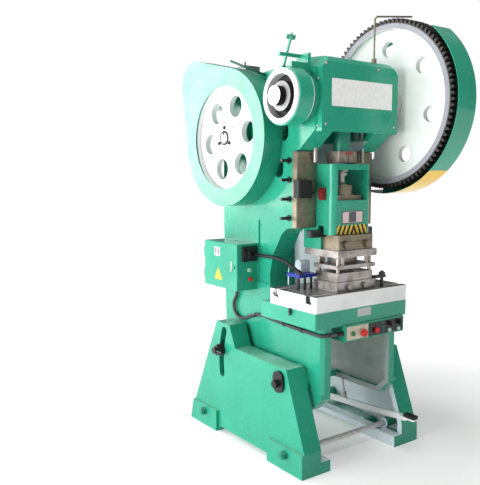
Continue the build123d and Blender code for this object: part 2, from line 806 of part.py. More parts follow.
def make_adjusting_screw():
    screw = rod_z(0, press_y, screw_r, ball_z, pin_z - rod_ring_r - 12)
    screw += Pos(0, press_y, ball_z) * Sphere(ball_r)
    screw += hexagon_z(0, press_y, 50, ball_z + 66, ball_z + 84)
    screw += rod_z(0, press_y, 28, ball_z + 50, ball_z + 60)
    return screw


def make_ball_seat():
    plate = block((-window_half + 8, window_half - 8), (press_y - 46, slide_rear - 12), (window_low, window_low + seat_thick))
    top = window_low + seat_thick
    cup = rod_z(0, press_y, ball_r + 22, top, top + 44) - rod_z(0, press_y, ball_r + 10, top - 1, top + 50)
    cup -= block((-100, 100), (press_y - 6, press_y + 100), (top - 1, top + 50))
    return plate + cup


# Gear train
def ring_points(teeth, centre_y, centre_z, first):
    """Corners of a ring of involute teeth with one tooth centred at an angle."""
    pitch = gear_module * teeth / 2
    base = pitch * math.cos(math.radians(pressure_angle))
    root = pitch - 1.25 * gear_module
    tip = pitch + gear_module
    start = max(base, root)
    slope = math.radians(pressure_angle)
    half = math.pi / (2 * teeth) - backlash / pitch + math.tan(slope) - slope
    side = [(root, half - 0.002)] if root < base else []
    for step in range(4):
        radius = start + (tip - start) * step / 3
        slope = math.acos(min(1.0, base / radius))
        side.append((radius, half - math.tan(slope) + slope))
    points = []
    for tooth in range(teeth):
        centre = math.radians(first) + 2 * math.pi * tooth / teeth
        for radius, angle in side:
            points.append((centre_y + radius * math.cos(centre - angle), centre_z + radius * math.sin(centre - angle)))
        for radius, angle in reversed(side):
            points.append((centre_y + radius * math.cos(centre + angle), centre_z + radius * math.sin(centre + angle)))
    return points


def make_bull_gear():
    right = gear_left + gear_wide
    teeth = side_plate(side_face(ring_points(gear_teeth, press_y, crank_z, -drive_drop)), gear_left, right)
    gear = teeth - rod_x(press_y, crank_z, gear_rim_in, gear_left - 1, right + 1)
    web = rod_x(press_y, crank_z, gear_rim_in, gear_web_left, gear_web_left + gear_web_thick)
    for index in range(gear_holes):
        angle = math.radians(90 + 360 / gear_holes * index)
        y = press_y + gear_hole_pcr * math.cos(angle)
        z = crank_z + gear_hole_pcr * math.sin(angle)
        web -= rod_x(y, z, gear_hole_r, gear_web_left - 1, gear_web_left + gear_web_thick + 1)
    gear += web
    gear += rod_x(press_y, crank_z, gear_hub_r, gear_left - 5.5, right + 14.5)
    return gear - rod_x(press_y, crank_z, tail_r + fit, gear_left - 10, right + 20)


def make_pinion():
    outline = ring_points(pinion_teeth, drive_y, drive_z, 180 - drive_drop + 180 / pinion_teeth)
    pinion = side_plate(side_face(outline), gear_left - 2, gear_left + gear_wide + 2)
    return pinion - rod_x(drive_y, drive_z, shaft_r, gear_left - 3, gear_left + gear_wide + 3)


def make_drive_shaft():
    shaft = rod_x(drive_y, drive_z, shaft_r, flywheel_left - 8, gear_left + gear_wide + 8)
    shaft = chamfer(shaft.edges().filter_by(GeomType.CIRCLE), 2)
    shaft += tube_x(drive_y, drive_z, shaft_r + 8, shaft_r - 1, wall_out + 15, gear_left - 2)
    return shaft


def belt_middles():
    middle = flywheel_left + flywheel_wide / 2
    return [middle + belt_pitch * (index - (belt_count - 1) / 2) for index in range(belt_count)]


def make_flywheel():
    right = flywheel_left + flywheel_wide
    wheel = rod_x(drive_y, drive_z, flywheel_r, flywheel_left, right)
    wheel -= rod_x(drive_y, drive_z, flywheel_r - 44, flywheel_left - 1, flywheel_left + 20)
    wheel -= rod_x(drive_y, drive_z, flywheel_r - 44, right - 20, right + 1)
    wheel += rod_x(drive_y, drive_z, 64, flywheel_left - 3, right + 2)
    wheel -= rod_x(drive_y, drive_z, shaft_r, flywheel_left - 4, right + 3)
    for index in range(flywheel_holes):
        angle = math.radians(flywheel_turn + 360 / flywheel_holes * index)
        y = drive_y + flywheel_hole_pcr * math.cos(angle)
        z = drive_z + flywheel_hole_pcr * math.sin(angle)
        wheel -= rod_x(y, z, flywheel_hole_r, flywheel_left, right)
    for x in belt_middles():
        wheel -= tube_x(drive_y, drive_z, flywheel_r + 1, flywheel_r - belt_deep, x - belt_groove / 2, x + belt_groove / 2)
    return wheel


def belt_loop(first_r, second_r, low, high):
    """Solid round both pulley axes with straight sides tangent to the circles."""
    dy, dz = motor_y - drive_y, motor_z - drive_z
    span = math.hypot(dy, dz)
    heading = math.atan2(dz, dy)
    spread = math.acos((first_r - second_r) / span)
    corners = []
    for radius, y, z, sign in ((first_r, drive_y, drive_z, 1), (second_r, motor_y, motor_z, 1),
                               (second_r, motor_y, motor_z, -1), (first_r, drive_y, drive_z, -1)):
        angle = heading + sign * spread
        corners.append((y + radius * math.cos(angle), z + radius * math.sin(angle)))
    loop = rod_x(drive_y, drive_z, first_r, low, high) + rod_x(motor_y, motor_z, second_r, low, high)
    return loop + side_plate(side_face(corners), low, high)


def make_v_belts():
    belts = []
    for x in belt_middles():
        low, high = x - belt_groove / 2 + face_gap, x + belt_groove / 2 - face_gap
        belt = belt_loop(flywheel_r + face_gap, motor_pulley_r + face_gap, low, high)
        deep = belt_deep - face_gap
        belts.append(belt - belt_loop(flywheel_r - deep, motor_pulley_r - deep, low - 1, high + 1))
    return belts


def make_motor_pulley():
    middles = belt_middles()
    low, high = middles[0] - 14, middles[-1] + 14
    pulley = rod_x(motor_y, motor_z, motor_pulley_r, low, high)
    for x in middles:
        pulley -= tube_x(motor_y, motor_z, motor_pulley_r + 1, motor_pulley_r - belt_deep, x - belt_groove / 2, x + belt_groove / 2)
    pulley += rod_x(motor_y, motor_z, motor_shaft_r, low - 4, -110)
    return pulley


def make_motor():
    motor = rod_x(motor_y, motor_z, 82, -142, 122)
    for index in range(18):
        fin = Pos(0, motor_y, motor_z) * Rot(20 * index + 10, 0, 0) * Pos(-10, 0, 85) * Box(236, 5, 14)
        motor += fin
    motor += rod_x(motor_y, motor_z, 88, -160, -142) + rod_x(motor_y, motor_z, 90, 120, 156)
    motor += block((-112, 96), (motor_y - 76, motor_y - 40), (motor_z - 93, motor_z - 50))
    motor += block((-112, 96), (motor_y + 40, motor_y + 76), (motor_z - 93, motor_z - 50))
    motor += block((-46, 46), (motor_y - 40, motor_y + 40), (motor_z + 70, motor_z + 118))
    return motor - rod_x(motor_y, motor_z, motor_shaft_r + fit, -161, -108)


def make_motor_plate():
    top = motor_z - 93
    plate = block((-170, 170), (column_rear, motor_y + 110), (top - 12, top))
    plate += block((-150, 150), (column_rear, column_rear + 12), (top - 117, top - 12))
    for x in (-120, 120):
        face = side_face([(column_rear + 11, top - 100), (column_rear + 11, top - 11), (motor_y + 60, top - 11)])
        plate += side_plate(face, x - 5, x + 5)
    return plate


# Guards and covers
def wedge(start, stop, radius, low, high):
    """Slice of a disc round the crank axis, between two angles."""
    points = [(press_y, crank_z)]
    steps = 6
    for step in range(steps + 1):
        angle = math.radians(start + (stop - start) * step / steps)
        points.append((press_y + radius * math.cos(angle), crank_z + radius * math.sin(angle)))
    return side_plate(side_face(points), low, high)


def make_gear_guard():
    left, right = gear_guard_left, gear_guard_left + gear_guard_wide
    face = right - guard_skin
    band = tube_x(press_y, crank_z, gear_guard_r, gear_guard_r - guard_skin, left, right)
    rim_plate = tube_x(press_y, crank_z, gear_guard_r, guard_open_r, face, right)
    guard = (band + rim_plate) & wedge(guard_start, guard_stop, gear_guard_r * 1.3, left, right)
    guard += tube_x(press_y, crank_z, gear_guard_r - 28, guard_open_r, face, right)
    house = tube_x(drive_y, drive_z, house_r, house_r - guard_skin, wall_out, right)
    guard += house - rod_x(press_y, crank_z, gear_guard_r - 16, wall_out - 1, right + 1)
    guard += rod_x(drive_y, drive_z, house_r, face, right)
    guard += tube_x(drive_y, drive_z, house_r, drive_bush_r + 37, wall_out, wall_out + guard_skin)
    angle = math.radians(guard_stop - 1)
    y = press_y + (gear_guard_r - 2) * math.cos(angle)
    z = crank_z + (gear_guard_r - 2) * math.sin(angle)
    guard += block((wall_out, left + 20), (y - 16, y + 4), (z - 5, z + 3)) - rod_x(
        press_y, crank_z, gear_guard_r - guard_skin, wall_out - 1, left + 30)
    return guard


def make_belt_guard():
    right = -wall_out
    guard = belt_loop(belt_guard_r, belt_guard_motor_r, belt_guard_left, right)
    guard -= belt_loop(belt_guard_r - guard_skin, belt_guard_motor_r - guard_skin, belt_guard_left + guard_skin, right + 1)
    guard -= rod_x(drive_y, drive_z, belt_guard_open_r, belt_guard_left - 1, belt_guard_left + guard_skin + 1)
    return guard


def make_head_cover():
    """Sheet hood over the crank, open below and over the crown."""
    shape = [(cover_front, cover_low), (cover_front, cover_top - 18), (cover_front + 14, cover_top),
             (cover_front + 44, cover_top + 10), (cover_rear, cover_rear_top), (cover_rear, crown_top - 12),
             (crown_front, crown_top - 24), (crown_front, cover_low)]
    skin = cover_skin
    inside = [(cover_front + skin, cover_low - 20), (cover_front + skin, cover_top - 19),
              (cover_front + 15.5, cover_top - skin), (cover_front + 44.5, cover_top + 10 - skin),
              (cover_rear - skin, cover_rear_top - skin), (cover_rear - skin, crown_top - 60),
              (crown_front + 10, crown_top - 60), (crown_front + 10, cover_low - 20)]
    hood = side_plate(side_face(shape), -cover_half, cover_half)
    hollow = side_plate(side_face(inside), -cover_half + skin, cover_half - skin)
    for side in (-1, 1):
        for piece, inset in ((0, 0.0), (1, skin * 1.2)):
            corner = Pos(side * (cover_half - inset), 0, cover_top + 30 - inset) * Rot(0, 45, 0) * Box(104, 800, 104)
            if piece:
                hollow -= corner
            else:
                hood -= corner
    hood -= hollow
    hood -= side_plate(frame_face(), -wall_out, -wall_in) + side_plate(frame_face(), wall_in, wall_out)
    return hood - rod_x(press_y, crank_z, bush_r + 40, -wall_out, wall_out)


def make_oil_pipe():
    x, y = oil_x, oil_y
    path = FilletPolyline((x, y, cover_top + 20), (x, y, 1926), (334, y, 1958), radius=24)
    pipe = sweep(Plane(origin=(x, y, cover_top + 20), z_dir=(0, 0, 1)) * Circle(4), path=path)
    base = rod_z(x, y, 11, cover_top - 20, cover_top + 20) - make_head_cover()
    base = base.solids().sort_by(Axis.Z)[-1]
    return [pipe, base]


# Electrics
def make_electrical_box():
    left = box_left + door_thick
    box = block((left, -wall_out), (box_front, box_rear), (box_low, box_high))
    box -= block((left - 1, -wall_out - 3), (box_front + 3, box_rear - 3), (box_low + 3, box_high - 3))
    box -= rod_y(start_x, start_z, 5 + fit, box_front - 1, box_front + 4)
    for z in hinge_heights():
        for low in (z - 10, z + 30):
            box += block((hinge_x - 3, left + 10), (box_rear, hinge_y + 4), (low, low + 10 - face_gap))
        box += rod_z(hinge_x, hinge_y, 3, z - 10, z + 40 - face_gap)
    return box


def hinge_heights():
    return [box_low + 40, box_high - 70]


def make_box_door():
    door = block((box_left, box_left + door_thick - face_gap), (box_front, box_rear - 1), (box_low, box_high))
    door = chamfer(door.faces().sort_by(Axis.X)[0].edges(), 2)
    for z in hinge_heights():
        door += block((hinge_x - 6, hinge_x), (box_rear - 6, hinge_y), (z, z + 29.4))
        door += rod_z(hinge_x, hinge_y, 6, z, z + 29.4)
        door -= rod_z(hinge_x, hinge_y, 3 + fit, z - 1, z + 31)
    door += rod_x(box_front + 26, (box_low + box_high) / 2, 9, box_left - 5, box_left)
    return door


def make_isolator_base():
    base = block((-319, -236), (box_front - 12, box_front), (850, 920))
    base = chamfer(base.faces().sort_by(Axis.Y)[0].edges(), 2)
    return base - rod_y(knob_x, knob_z, 6 + fit, box_front - 13, box_front - 2)


def make_isolator_knob():
    front = box_front - 12 - face_gap
    knob = rod_y(knob_x, knob_z, 19, front - 9, front) + rod_y(knob_x, knob_z, 6, front - 1, front + 9)
    return knob + block((knob_x - 5, knob_x + 5), (front - 20, front - 8), (knob_z - 19, knob_z + 19))


def push_button(x, front, z, radius, thick):
    """Cap and stem that can go in by the button's travel."""
    face = front - face_gap - button_travel
    button = rod_y(x, z, radius, face - thick, face)
    button = fillet(button.faces().sort_by(Axis.Y)[0].edges(), min(3, thick * 0.4))
    return button + rod_y(x, z, 5, face - 1, front + 16)


def make_e_stop():
    face = plate_front - face_gap - button_travel
    head = rod_y(e_stop_x, e_stop_z, 17, face - 16, face - 6)
    head = fillet(head.faces().sort_by(Axis.Y)[0].edges(), 4)
    return head + rod_y(e_stop_x, e_stop_z, 10, face - 7, face) + rod_y(e_stop_x, e_stop_z, 5, face - 1, plate_front + 16)


def make_selector(x, z):
    face = plate_front - face_gap
    knob = rod_y(x, z, 11, face - 7, face) + rod_y(x, z, 5, face - 1, plate_front + 16)
    return knob + block((x - 3, x + 3), (face - 17, face - 6), (z - 11, z + 11))


def make_control_panel():
    panel = block((panel_left, panel_right), (panel_front, body_front), (panel_low, bed_low))
    panel += block((panel_left, wall_in - 18), (body_front - 1, panel_rear), (panel_low + 4, bed_low))
    panel = chamfer(panel.edges().filter_by(Axis.X).group_by(Axis.Y)[0].group_by(Axis.Z)[0], 5)
    for low, high in plate_spans:
        panel += block((low, high), (plate_front, panel_front + 1), (panel_low + 8, bed_low - 6))
    stems = [(green_x, green_z), (e_stop_x, e_stop_z), (red_x, red_z), (selector_x[0], selector_z), (selector_x[1], selector_z)]
    for x, z in stems:
        panel -= rod_y(x, z, 5 + fit, plate_front - 1, plate_front + 18 + button_travel)
    return panel


def make_indicator_lamps():
    lamps = []
    for x in selector_x:
        lamp = rod_y(x, lamp_z, 9, plate_front - 8, plate_front)
        lamps.append(fillet(lamp.faces().sort_by(Axis.Y)[0].edges(), 3))
    box_lamp = rod_y(box_lamp_x, box_lamp_z, 10, box_front - 9, box_front)
    lamps.append(fillet(box_lamp.faces().sort_by(Axis.Y)[0].edges(), 3))
    return lamps


def conduit(points):
    """Tube of straight runs joined by tangent arcs."""
    path = [Vector(*point) for point in points]
    radii = []
    for before, corner, after in zip(path, path[1:], path[2:]):
        first, second = corner - before, after - corner
        turn = math.radians(first.get_angle(second))
        radii.append(0.45 * min(first.length, second.length) / math.tan(turn / 2))
    print("conduit bend radii", [round(radius) for radius in radii])
    line = FilletPolyline(*points, radius=radii)
    return sweep(Plane(origin=points[0], z_dir=path[1] - path[0]) * Circle(conduit_r), path=line)


feed_points = [(-262, 22, 884), (-262, -62, 884), (-255, -140, 884), (-239, -204, 864), (-222, -236, 834)]
panel_points = [(-243, 187, 701), (-243, 187, 668), (-242, 221, 628), (-241, 212, 574), (-241, 155, 551),
                (-241, 76, 583), (-241, 3, 604), (-241, -110, 593), (-241, -240, 586), (-240, -345, 583),
                (-240, -419, 580), (-160, -419, 580)]


def clip(points, index):
    """Saddle round one run of a conduit, with its foot on the side wall."""
    first, second = Vector(*points[index]), Vector(*points[index + 1])
    middle = (first + second) / 2
    frame = Plane(origin=middle, z_dir=second - first)
    saddle = frame * Cylinder(conduit_r + 2, 12)
    saddle += block((middle.X, -wall_out), (middle.Y - 6, middle.Y + 6), (middle.Z - 7, middle.Z + 7))
    saddle -= frame * Cylinder(conduit_r + 0.2, 60)
    saddle = saddle & block((-400, -wall_out), (middle.Y - 40, middle.Y + 40), (middle.Z - 40, middle.Z + 40))
    return saddle.solids().sort_by(SortBy.VOLUME)[-1]


def make_conduit_fittings():
    start, end = panel_points[0], panel_points[-1]
    first, last = feed_points[0], Vector(*feed_points[-1])
    pieces = [rod_z(start[0], start[1], 12, start[2], box_low)]
    pieces.append(rod_x(end[1], end[2], 11, end[0], panel_left))
    pieces.append(rod_y(first[0], first[2], 11, first[1], box_front - 12))
    nose = Plane(origin=last, z_dir=last - Vector(*feed_points[-2])) * Cylinder(11, 40, align=CENTRE_LOW)
    nose -= block((-300, 0), (-400, 0), (0, sensor_top))
    pieces.append(nose)
    pieces.extend([clip(panel_points, 5), clip(panel_points, 7), clip(panel_points, 8)])
    return pieces


def make_sensor_box():
    box = block((-233, -126), (-262, -172), (sensor_top - 14, sensor_top))
    box = fillet(box.edges().filter_by(Axis.Z), 8)
    body = block((-182, -130), (-214, -174), (sensor_top - 1, sensor_top + 54))
    box += fillet(body.edges().filter_by(Axis.X).group_by(Axis.Z)[-1], 16)
    for x, y in ((-215, -236), (-178, -236), (-142, -236), (-178, -190)):
        box += rod_z(x, y, 6, bolster_top, sensor_top - 13)
    return box


# Die set, closed at the bottom of the stroke
def make_lower_die():
    shoe = block((shoe_left, shoe_right), (shoe_front, shoe_rear), (bolster_top, shoe_top))
    die = block((shoe_left + 10, shoe_right - 10), (shoe_front + 6, shoe_rear - 4), (shoe_top, shoe_top + 38))
    die = chamfer(die.edges().filter_by(Axis.Z), 3)
    die -= rod_z(0, press_y, punch_r + 0.6, shoe_top - 1, shoe_top + 40)
    shoe -= rod_z(0, press_y, punch_r + 6, bolster_top - 1, shoe_top + 1)
    for x, y in die_posts():
        shoe -= rod_z(x, y, post_r, shoe_top - 20, shoe_top + 1)
    pieces = [shoe]
    for x, y in die_posts():
        pieces.append(rod_z(x, y, post_r, shoe_top - 20, slide_low - holder_thick - 4))
        die -= rod_z(x, y, post_r, shoe_top - 1, shoe_top + 40)
    pieces.append(die)
    for x in (-56, 40):
        pieces[0] -= rod_y(x, 768, 6, shoe_front - 1, shoe_front + 30)
        pieces.append(rod_y(x, 768, 6, shoe_front - 1, shoe_front + 30) + hexagon_y(x, 768, 22, shoe_front - 12, shoe_front))
    return pieces


def die_posts():
    return [(x, y) for x in (shoe_left + 22, shoe_right - 22) for y in (shoe_front + 18, shoe_rear - 16)]


def make_upper_die():
    top = slide_low
    upper = rod_z(0, press_y, shank_r, top - 1, top + shank_deep)
    upper += block((-118, 118), (shoe_front, -165), (top - holder_thick, top))
    plate_low = shoe_top + 56
    plate_high = plate_low + 16
    plate = block((shoe_left + 2, shoe_right - 2), (shoe_front, shoe_rear), (plate_low, plate_high))
    for x, y in die_posts():
        plate -= rod_z(x, y, post_r + fit, plate_low - 1, plate_high + 1)
    upper += plate
    for x in (shoe_left + 44, shoe_right - 44):
        for y in (shoe_front + 14, shoe_rear - 14):
            upper += rod_z(x, y, 9, plate_high - 1, top - holder_thick + 1)
    upper += block((-52, 46), (press_y - 60, press_y + 26), (plate_high - 1, top - holder_thick + 1))
    upper += rod_z(0, press_y, punch_r, shoe_top + 14, plate_high)
    return upper


def make_die_clamps():
    y = press_y - tee_dy
    stud_x = 158
    low = bolster_top - tee_deep + 0.5
    stud = rod_z(stud_x, y, 7.5, low + 11, shoe_top + 30)
    nut = block((stud_x - 15, stud_x + 15), (y - 15, y + 15), (low, low + 11))
    strap = block((shoe_right - 9, stud_x + 14), (y - 12, y + 12), (shoe_top, shoe_top + 12))
    strap -= rod_z(stud_x, y, 7.5, shoe_top - 1, shoe_top + 13)
    top_nut = hexagon_z(stud_x, y, 26, shoe_top + 12, shoe_top + 24) - rod_z(stud_x, y, 7.5, shoe_top, shoe_top + 30)
    # Loose tee bolt at the left end of the slot, and the bolt on the apron
    bolt = rod_z(-bed_half - 9, y, 7, bolster_top - 26, bolster_top + 2)
    bolt += rod_x(y, bolster_top - 16, 7, -bed_half - 9, -bed_half + 30)
    bolt += block((-bed_half + 8, -bed_half + 32), (y - 15, y + 15), (bolster_top - tee_deep, bolster_top - 21.5))
    apron = rod_x(-265, 668, 7, -bed_half - 12, -bed_half)
    apron += rod_z(-bed_half - 8, -265, 5, 652, 684)
    apron -= block((-bed_half, bed_half), (bed_front, bed_rear), (bed_low, bolster_top))
    return [stud + nut, strap, top_nut, bolt, apron]


# Clutch rod and its arm
def make_clutch_rod():
    rod = rod_z(clutch_x, clutch_y, clutch_r, clutch_low, clutch_arm_z + 16)
    rod += block((clutch_x - 4, clutch_x + 4), (clutch_y - 9, clutch_y + 9), (clutch_low - 16, clutch_low + 10))
    rod -= rod_x(clutch_y, clutch_low - 7, 4, clutch_x - 10, clutch_x + 10)
    low = wall_out + 17.5
    arm = block((low, low + 9), (clutch_y - 148, clutch_y + 10), (clutch_arm_z - 10, clutch_arm_z + 10))
    rod += arm
    rod += rod_z(clutch_x, clutch_y, 10, 1010, 1026)
    return rod


save("stand_left", mirrored(make_stand()))
save("stand_right", make_right_stand())
save("tie_rods", *make_tie_rods())
save("pivot_pins", make_pivot_pin(), mirrored(make_pivot_pin()), make_pedal_pin())
save("pedal_lever", make_pedal_lever())
save("pedal_tread", make_pedal_tread())
save("pull_rod", make_pull_rod())
save("pedal_spring", make_pedal_spring())
save("c_frame", *make_frame())
save("clamp_bolts", *make_clamp_bolts())
save("bolster", make_bolster())
save("gibs", *make_gibs())
save("gib_screws", *make_gib_screws())
save("stop_screws", *make_stop_screws())
crank_bush = tube_x(press_y, crank_z, bush_r, journal_r + fit, 148, wall_out + 16)
drive_bush = tube_x(drive_y, drive_z, drive_bush_r, shaft_r + fit, 168, wall_out + 14)
save("bearing_bushes", crank_bush, mirrored(crank_bush), drive_bush, mirrored(drive_bush))
save("slide", make_slide())
save("shank_clamp", *make_shank_clamp())
save("knockout_bar", make_knockout_bar())
save("trip_dog", make_trip_dog())
save("trip_switch", make_trip_switch())
save("crankshaft", make_crankshaft())
save("brake_drum", make_brake_drum())
save("brake_band", make_brake_band())
save("brake_rod", *make_brake_rod())
save("connecting_rod", make_connecting_rod())
save("rod_cap", *make_rod_cap())
save("adjusting_screw", make_adjusting_screw())
save("ball_seat", make_ball_seat())
save("bull_gear", make_bull_gear())
save("pinion", make_pinion())
save("drive_shaft", make_drive_shaft())
save("flywheel", make_flywheel())
save("v_belts", *make_v_belts())
save("motor_pulley", make_motor_pulley())
save("motor", make_motor())
save("motor_plate", make_motor_plate())
save("gear_guard", make_gear_guard())
save("belt_guard", make_belt_guard())
save("head_cover", make_head_cover())
save("oil_pipe", *make_oil_pipe())
save("electrical_box", make_electrical_box())
save("box_door", make_box_door())
save("isolator_base", make_isolator_base())
save("isolator_knob", make_isolator_knob())
save("start_button", push_button(start_x, box_front, start_z, 10, 9))
save("control_panel", make_control_panel())
save("indicator_lamps", *make_indicator_lamps())
save("green_button", push_button(green_x, plate_front, green_z, 10, 8))
save("red_button", push_button(red_x, plate_front, red_z, 12, 9))
save("e_stop", make_e_stop())
save("selector_left", make_selector(selector_x[0], selector_z))
save("selector_right", make_selector(selector_x[1], selector_z))
save("conduit_feed", conduit(feed_points))
save("conduit_panel", conduit(panel_points))
save("conduit_fittings", *make_conduit_fittings())
save("sensor_box", make_sensor_box())
save("lower_die", *make_lower_die())
save("upper_die", make_upper_die())
save("die_clamps", *make_die_clamps())
save("clutch_rod", make_clutch_rod())
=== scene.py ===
import math

import bmesh
import bpy
from mathutils import Matrix, Vector


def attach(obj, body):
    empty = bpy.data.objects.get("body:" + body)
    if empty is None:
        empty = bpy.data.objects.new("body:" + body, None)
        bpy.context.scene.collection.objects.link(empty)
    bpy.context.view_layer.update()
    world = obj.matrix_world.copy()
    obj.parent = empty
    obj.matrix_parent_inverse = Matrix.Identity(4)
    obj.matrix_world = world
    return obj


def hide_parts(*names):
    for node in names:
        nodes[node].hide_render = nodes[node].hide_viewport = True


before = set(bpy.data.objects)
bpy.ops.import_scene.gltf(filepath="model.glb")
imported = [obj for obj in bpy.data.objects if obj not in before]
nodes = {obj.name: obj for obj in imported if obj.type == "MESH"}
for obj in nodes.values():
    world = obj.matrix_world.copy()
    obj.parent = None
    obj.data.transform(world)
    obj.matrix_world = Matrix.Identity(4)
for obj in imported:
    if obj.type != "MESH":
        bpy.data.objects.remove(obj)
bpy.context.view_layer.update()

# Places shared with the CAD model, in metres
CRANK_Y, CRANK_Z = -0.270, 1.570
DRIVE_Y, DRIVE_Z = 0.17775, 1.42018
MM = 0.001

# Faces of the CAD model that carry added plates and screws
SLIDE_FACE_Y = -0.3418
HOOD_FACE_Y = -0.3853
HOOD_SIDE_X = 0.2263
APRON_FACE_Y = -0.4212
DOOR_FACE_X = -0.3449
BOLSTER_SIDE_X = -0.2799
GEAR_GUARD_FACE_X = 0.3823
CRANK_END_X = 0.3833
FLYWHEEL_HUB_X = -0.3212
LEG_FACE_X = 0.3585


# Shader graph helper
METAL_GLOSS = 0.5
PAINT_GLOSS = 0.32
MIX_SHARE, MIX_A, MIX_B, MIX_OUT = 0, 6, 7, 2


class Graph:
    """Builds one node material, with short names for the nodes it uses."""

    def __init__(self, name):
        self.material = bpy.data.materials.new(name)
        self.material.use_nodes = True
        self.tree = self.material.node_tree
        self.shader = self.tree.nodes["Principled BSDF"]
        self.coords = self.tree.nodes.new("ShaderNodeTexCoord")
        self.place = self.coords.outputs["Object"]

    def link(self, source, target):
        if isinstance(source, (int, float)):
            target.default_value = source
        elif isinstance(source, tuple):
            target.default_value = (*source, 1.0)
        else:
            self.tree.links.new(source, target)

    def math(self, operation, a, b=0.0):
        node = self.tree.nodes.new("ShaderNodeMath")
        node.operation = operation
        self.link(a, node.inputs[0])
        self.link(b, node.inputs[1])
        return node.outputs[0]

    def plus(self, a, b):
        return self.math("ADD", a, b)

    def minus(self, a, b):
        return self.math("SUBTRACT", a, b)

    def times(self, a, b):
        return self.math("MULTIPLY", a, b)

    def size(self, a):
        return self.math("ABSOLUTE", a)

    def length(self, a, b):
        return self.math("SQRT", self.plus(self.times(a, a), self.times(b, b)))

    def split(self, vector, index):
        node = self.tree.nodes.new("ShaderNodeSeparateXYZ")
        self.link(vector, node.inputs[0])
        return node.outputs[index]

    def axis(self, index):
        """Place on the machine along X, Y or Z, in metres."""
        return self.split(self.place, index)

    def facing(self, index):
        """How far the face looks along X, Y or Z."""
        return self.split(self.coords.outputs["Normal"], index)

    def inward(self):
        """1 on faces that look at the machine's middle plane."""
        return self.math("LESS_THAN", self.times(self.axis(0), self.facing(0)), -0.08)

    def noise(self, scale, detail=3.0, stretch=None):
        node = self.tree.nodes.new("ShaderNodeTexNoise")
        node.inputs["Scale"].default_value = scale
        node.inputs["Detail"].default_value = detail
        self.link(self.stretched(stretch), node.inputs["Vector"])
        return node.outputs["Fac"]

    def stretched(self, stretch):
        """Place with its axes scaled, for marks drawn out along one of them."""
        if stretch is None:
            return self.place
        node = self.tree.nodes.new("ShaderNodeMapping")
        self.link(self.place, node.inputs["Vector"])
        node.inputs["Scale"].default_value = stretch
        return node.outputs[0]

    def waves(self, scale, direction="X"):
        node = self.tree.nodes.new("ShaderNodeTexWave")
        node.bands_direction = direction
        node.inputs["Scale"].default_value = scale
        self.link(self.place, node.inputs["Vector"])
        return node.outputs["Fac"]

    def ramp(self, value, low, high):
        """0 below low, 1 above high."""
        node = self.tree.nodes.new("ShaderNodeMapRange")
        self.link(value, node.inputs["Value"])
        node.inputs["From Min"].default_value = low
        node.inputs["From Max"].default_value = high
        return node.outputs["Result"]

    def mix(self, share, a, b):
        """Colour a where share is 0 and b where it is 1."""
        node = self.tree.nodes.new("ShaderNodeMix")
        node.data_type = "RGBA"
        self.link(share, node.inputs[MIX_SHARE])
        self.link(a, node.inputs[MIX_A])
        self.link(b, node.inputs[MIX_B])
        return node.outputs[MIX_OUT]

    def bump(self, height, distance):
        node = self.tree.nodes.new("ShaderNodeBump")
        node.inputs["Distance"].default_value = distance
        self.link(height, node.inputs["Height"])
        self.tree.links.new(node.outputs[0], self.shader.inputs["Normal"])

    def radius(self, y, z):
        """Distance from a shaft's axis along X."""
        return self.length(self.minus(self.axis(1), y), self.minus(self.axis(2), z))

    def finish(self, colour, rough, metal=0.0, coat=0.0):
        self.link(colour, self.shader.inputs["Base Color"])
        self.link(rough, self.shader.inputs["Roughness"])
        self.shader.inputs["Metallic"].default_value = metal
        self.shader.inputs["Specular IOR Level"].default_value = METAL_GLOSS if metal else PAINT_GLOSS
        self.shader.inputs["Coat Weight"].default_value = coat
        return self.material


def shade(colour, factor):
    return tuple(min(1.0, channel * factor) for channel in colour)


# Paint, metal, rubber and plastic
GREEN = (0.017, 0.300, 0.185)
WHITE = (0.78, 0.80, 0.79)
BLACK = (0.010, 0.010, 0.011)
STEEL = (0.50, 0.48, 0.45)
OIL_BROWN = (0.17, 0.135, 0.10)
YELLOW = (0.80, 0.50, 0.03)
RED = (0.55, 0.012, 0.010)
DUST = (0.50, 0.66, 0.60)
OIL_SCALE = 22.0
TOOL_MARK_SCALE = 352.0


def enamel(name, colour, rough=0.30, grain=0.00025):
    """Sprayed machine paint over a cast or sheet skin, with cloudy shade and a little dust."""
    graph = Graph(name)
    clouds = graph.ramp(graph.noise(5.0, 4.0), 0.30, 0.72)
    base = graph.mix(clouds, shade(colour, 0.90), shade(colour, 1.08))
    specks = graph.ramp(graph.noise(170.0, 2.0), 0.70, 0.78)
    base = graph.mix(graph.times(specks, 0.25), base, shade(colour, 0.55))
    dust = graph.times(graph.ramp(graph.facing(2), 0.55, 1.0), 0.45)
    base = graph.mix(graph.times(dust, clouds), base, BLACK if colour == BLACK else DUST)
    shine = graph.ramp(graph.noise(14.0, 3.0), -0.6, 1.9)
    graph.bump(graph.plus(graph.noise(38.0, 4.0), graph.times(graph.noise(300.0), 0.15)), grain)
    return graph, base, graph.plus(shine, rough - 0.45)


def plain_enamel(name, colour, rough=0.30, grain=0.00025):
    graph, base, shine = enamel(name, colour, rough, grain)
    return graph.finish(base, shine, coat=0.25)


def steel(name, colour, rough, stretch=(1.0, 1.0, 1.0), amount=0.35):
    """Machined steel with tool marks along one direction and patches of oil."""
    graph = Graph(name)
    marks = graph.noise(TOOL_MARK_SCALE, 2.0, stretch)
    base = graph.mix(graph.ramp(marks, 0.35, 0.65), shade(colour, 0.80), shade(colour, 1.12))
    oil = graph.times(graph.ramp(graph.noise(OIL_SCALE, 4.0), 0.45, 0.70), amount)
    base = graph.mix(oil, base, OIL_BROWN)
    graph.bump(marks, 0.00006)
    return graph.finish(base, graph.plus(graph.times(marks, 0.25), rough), metal=0.85)


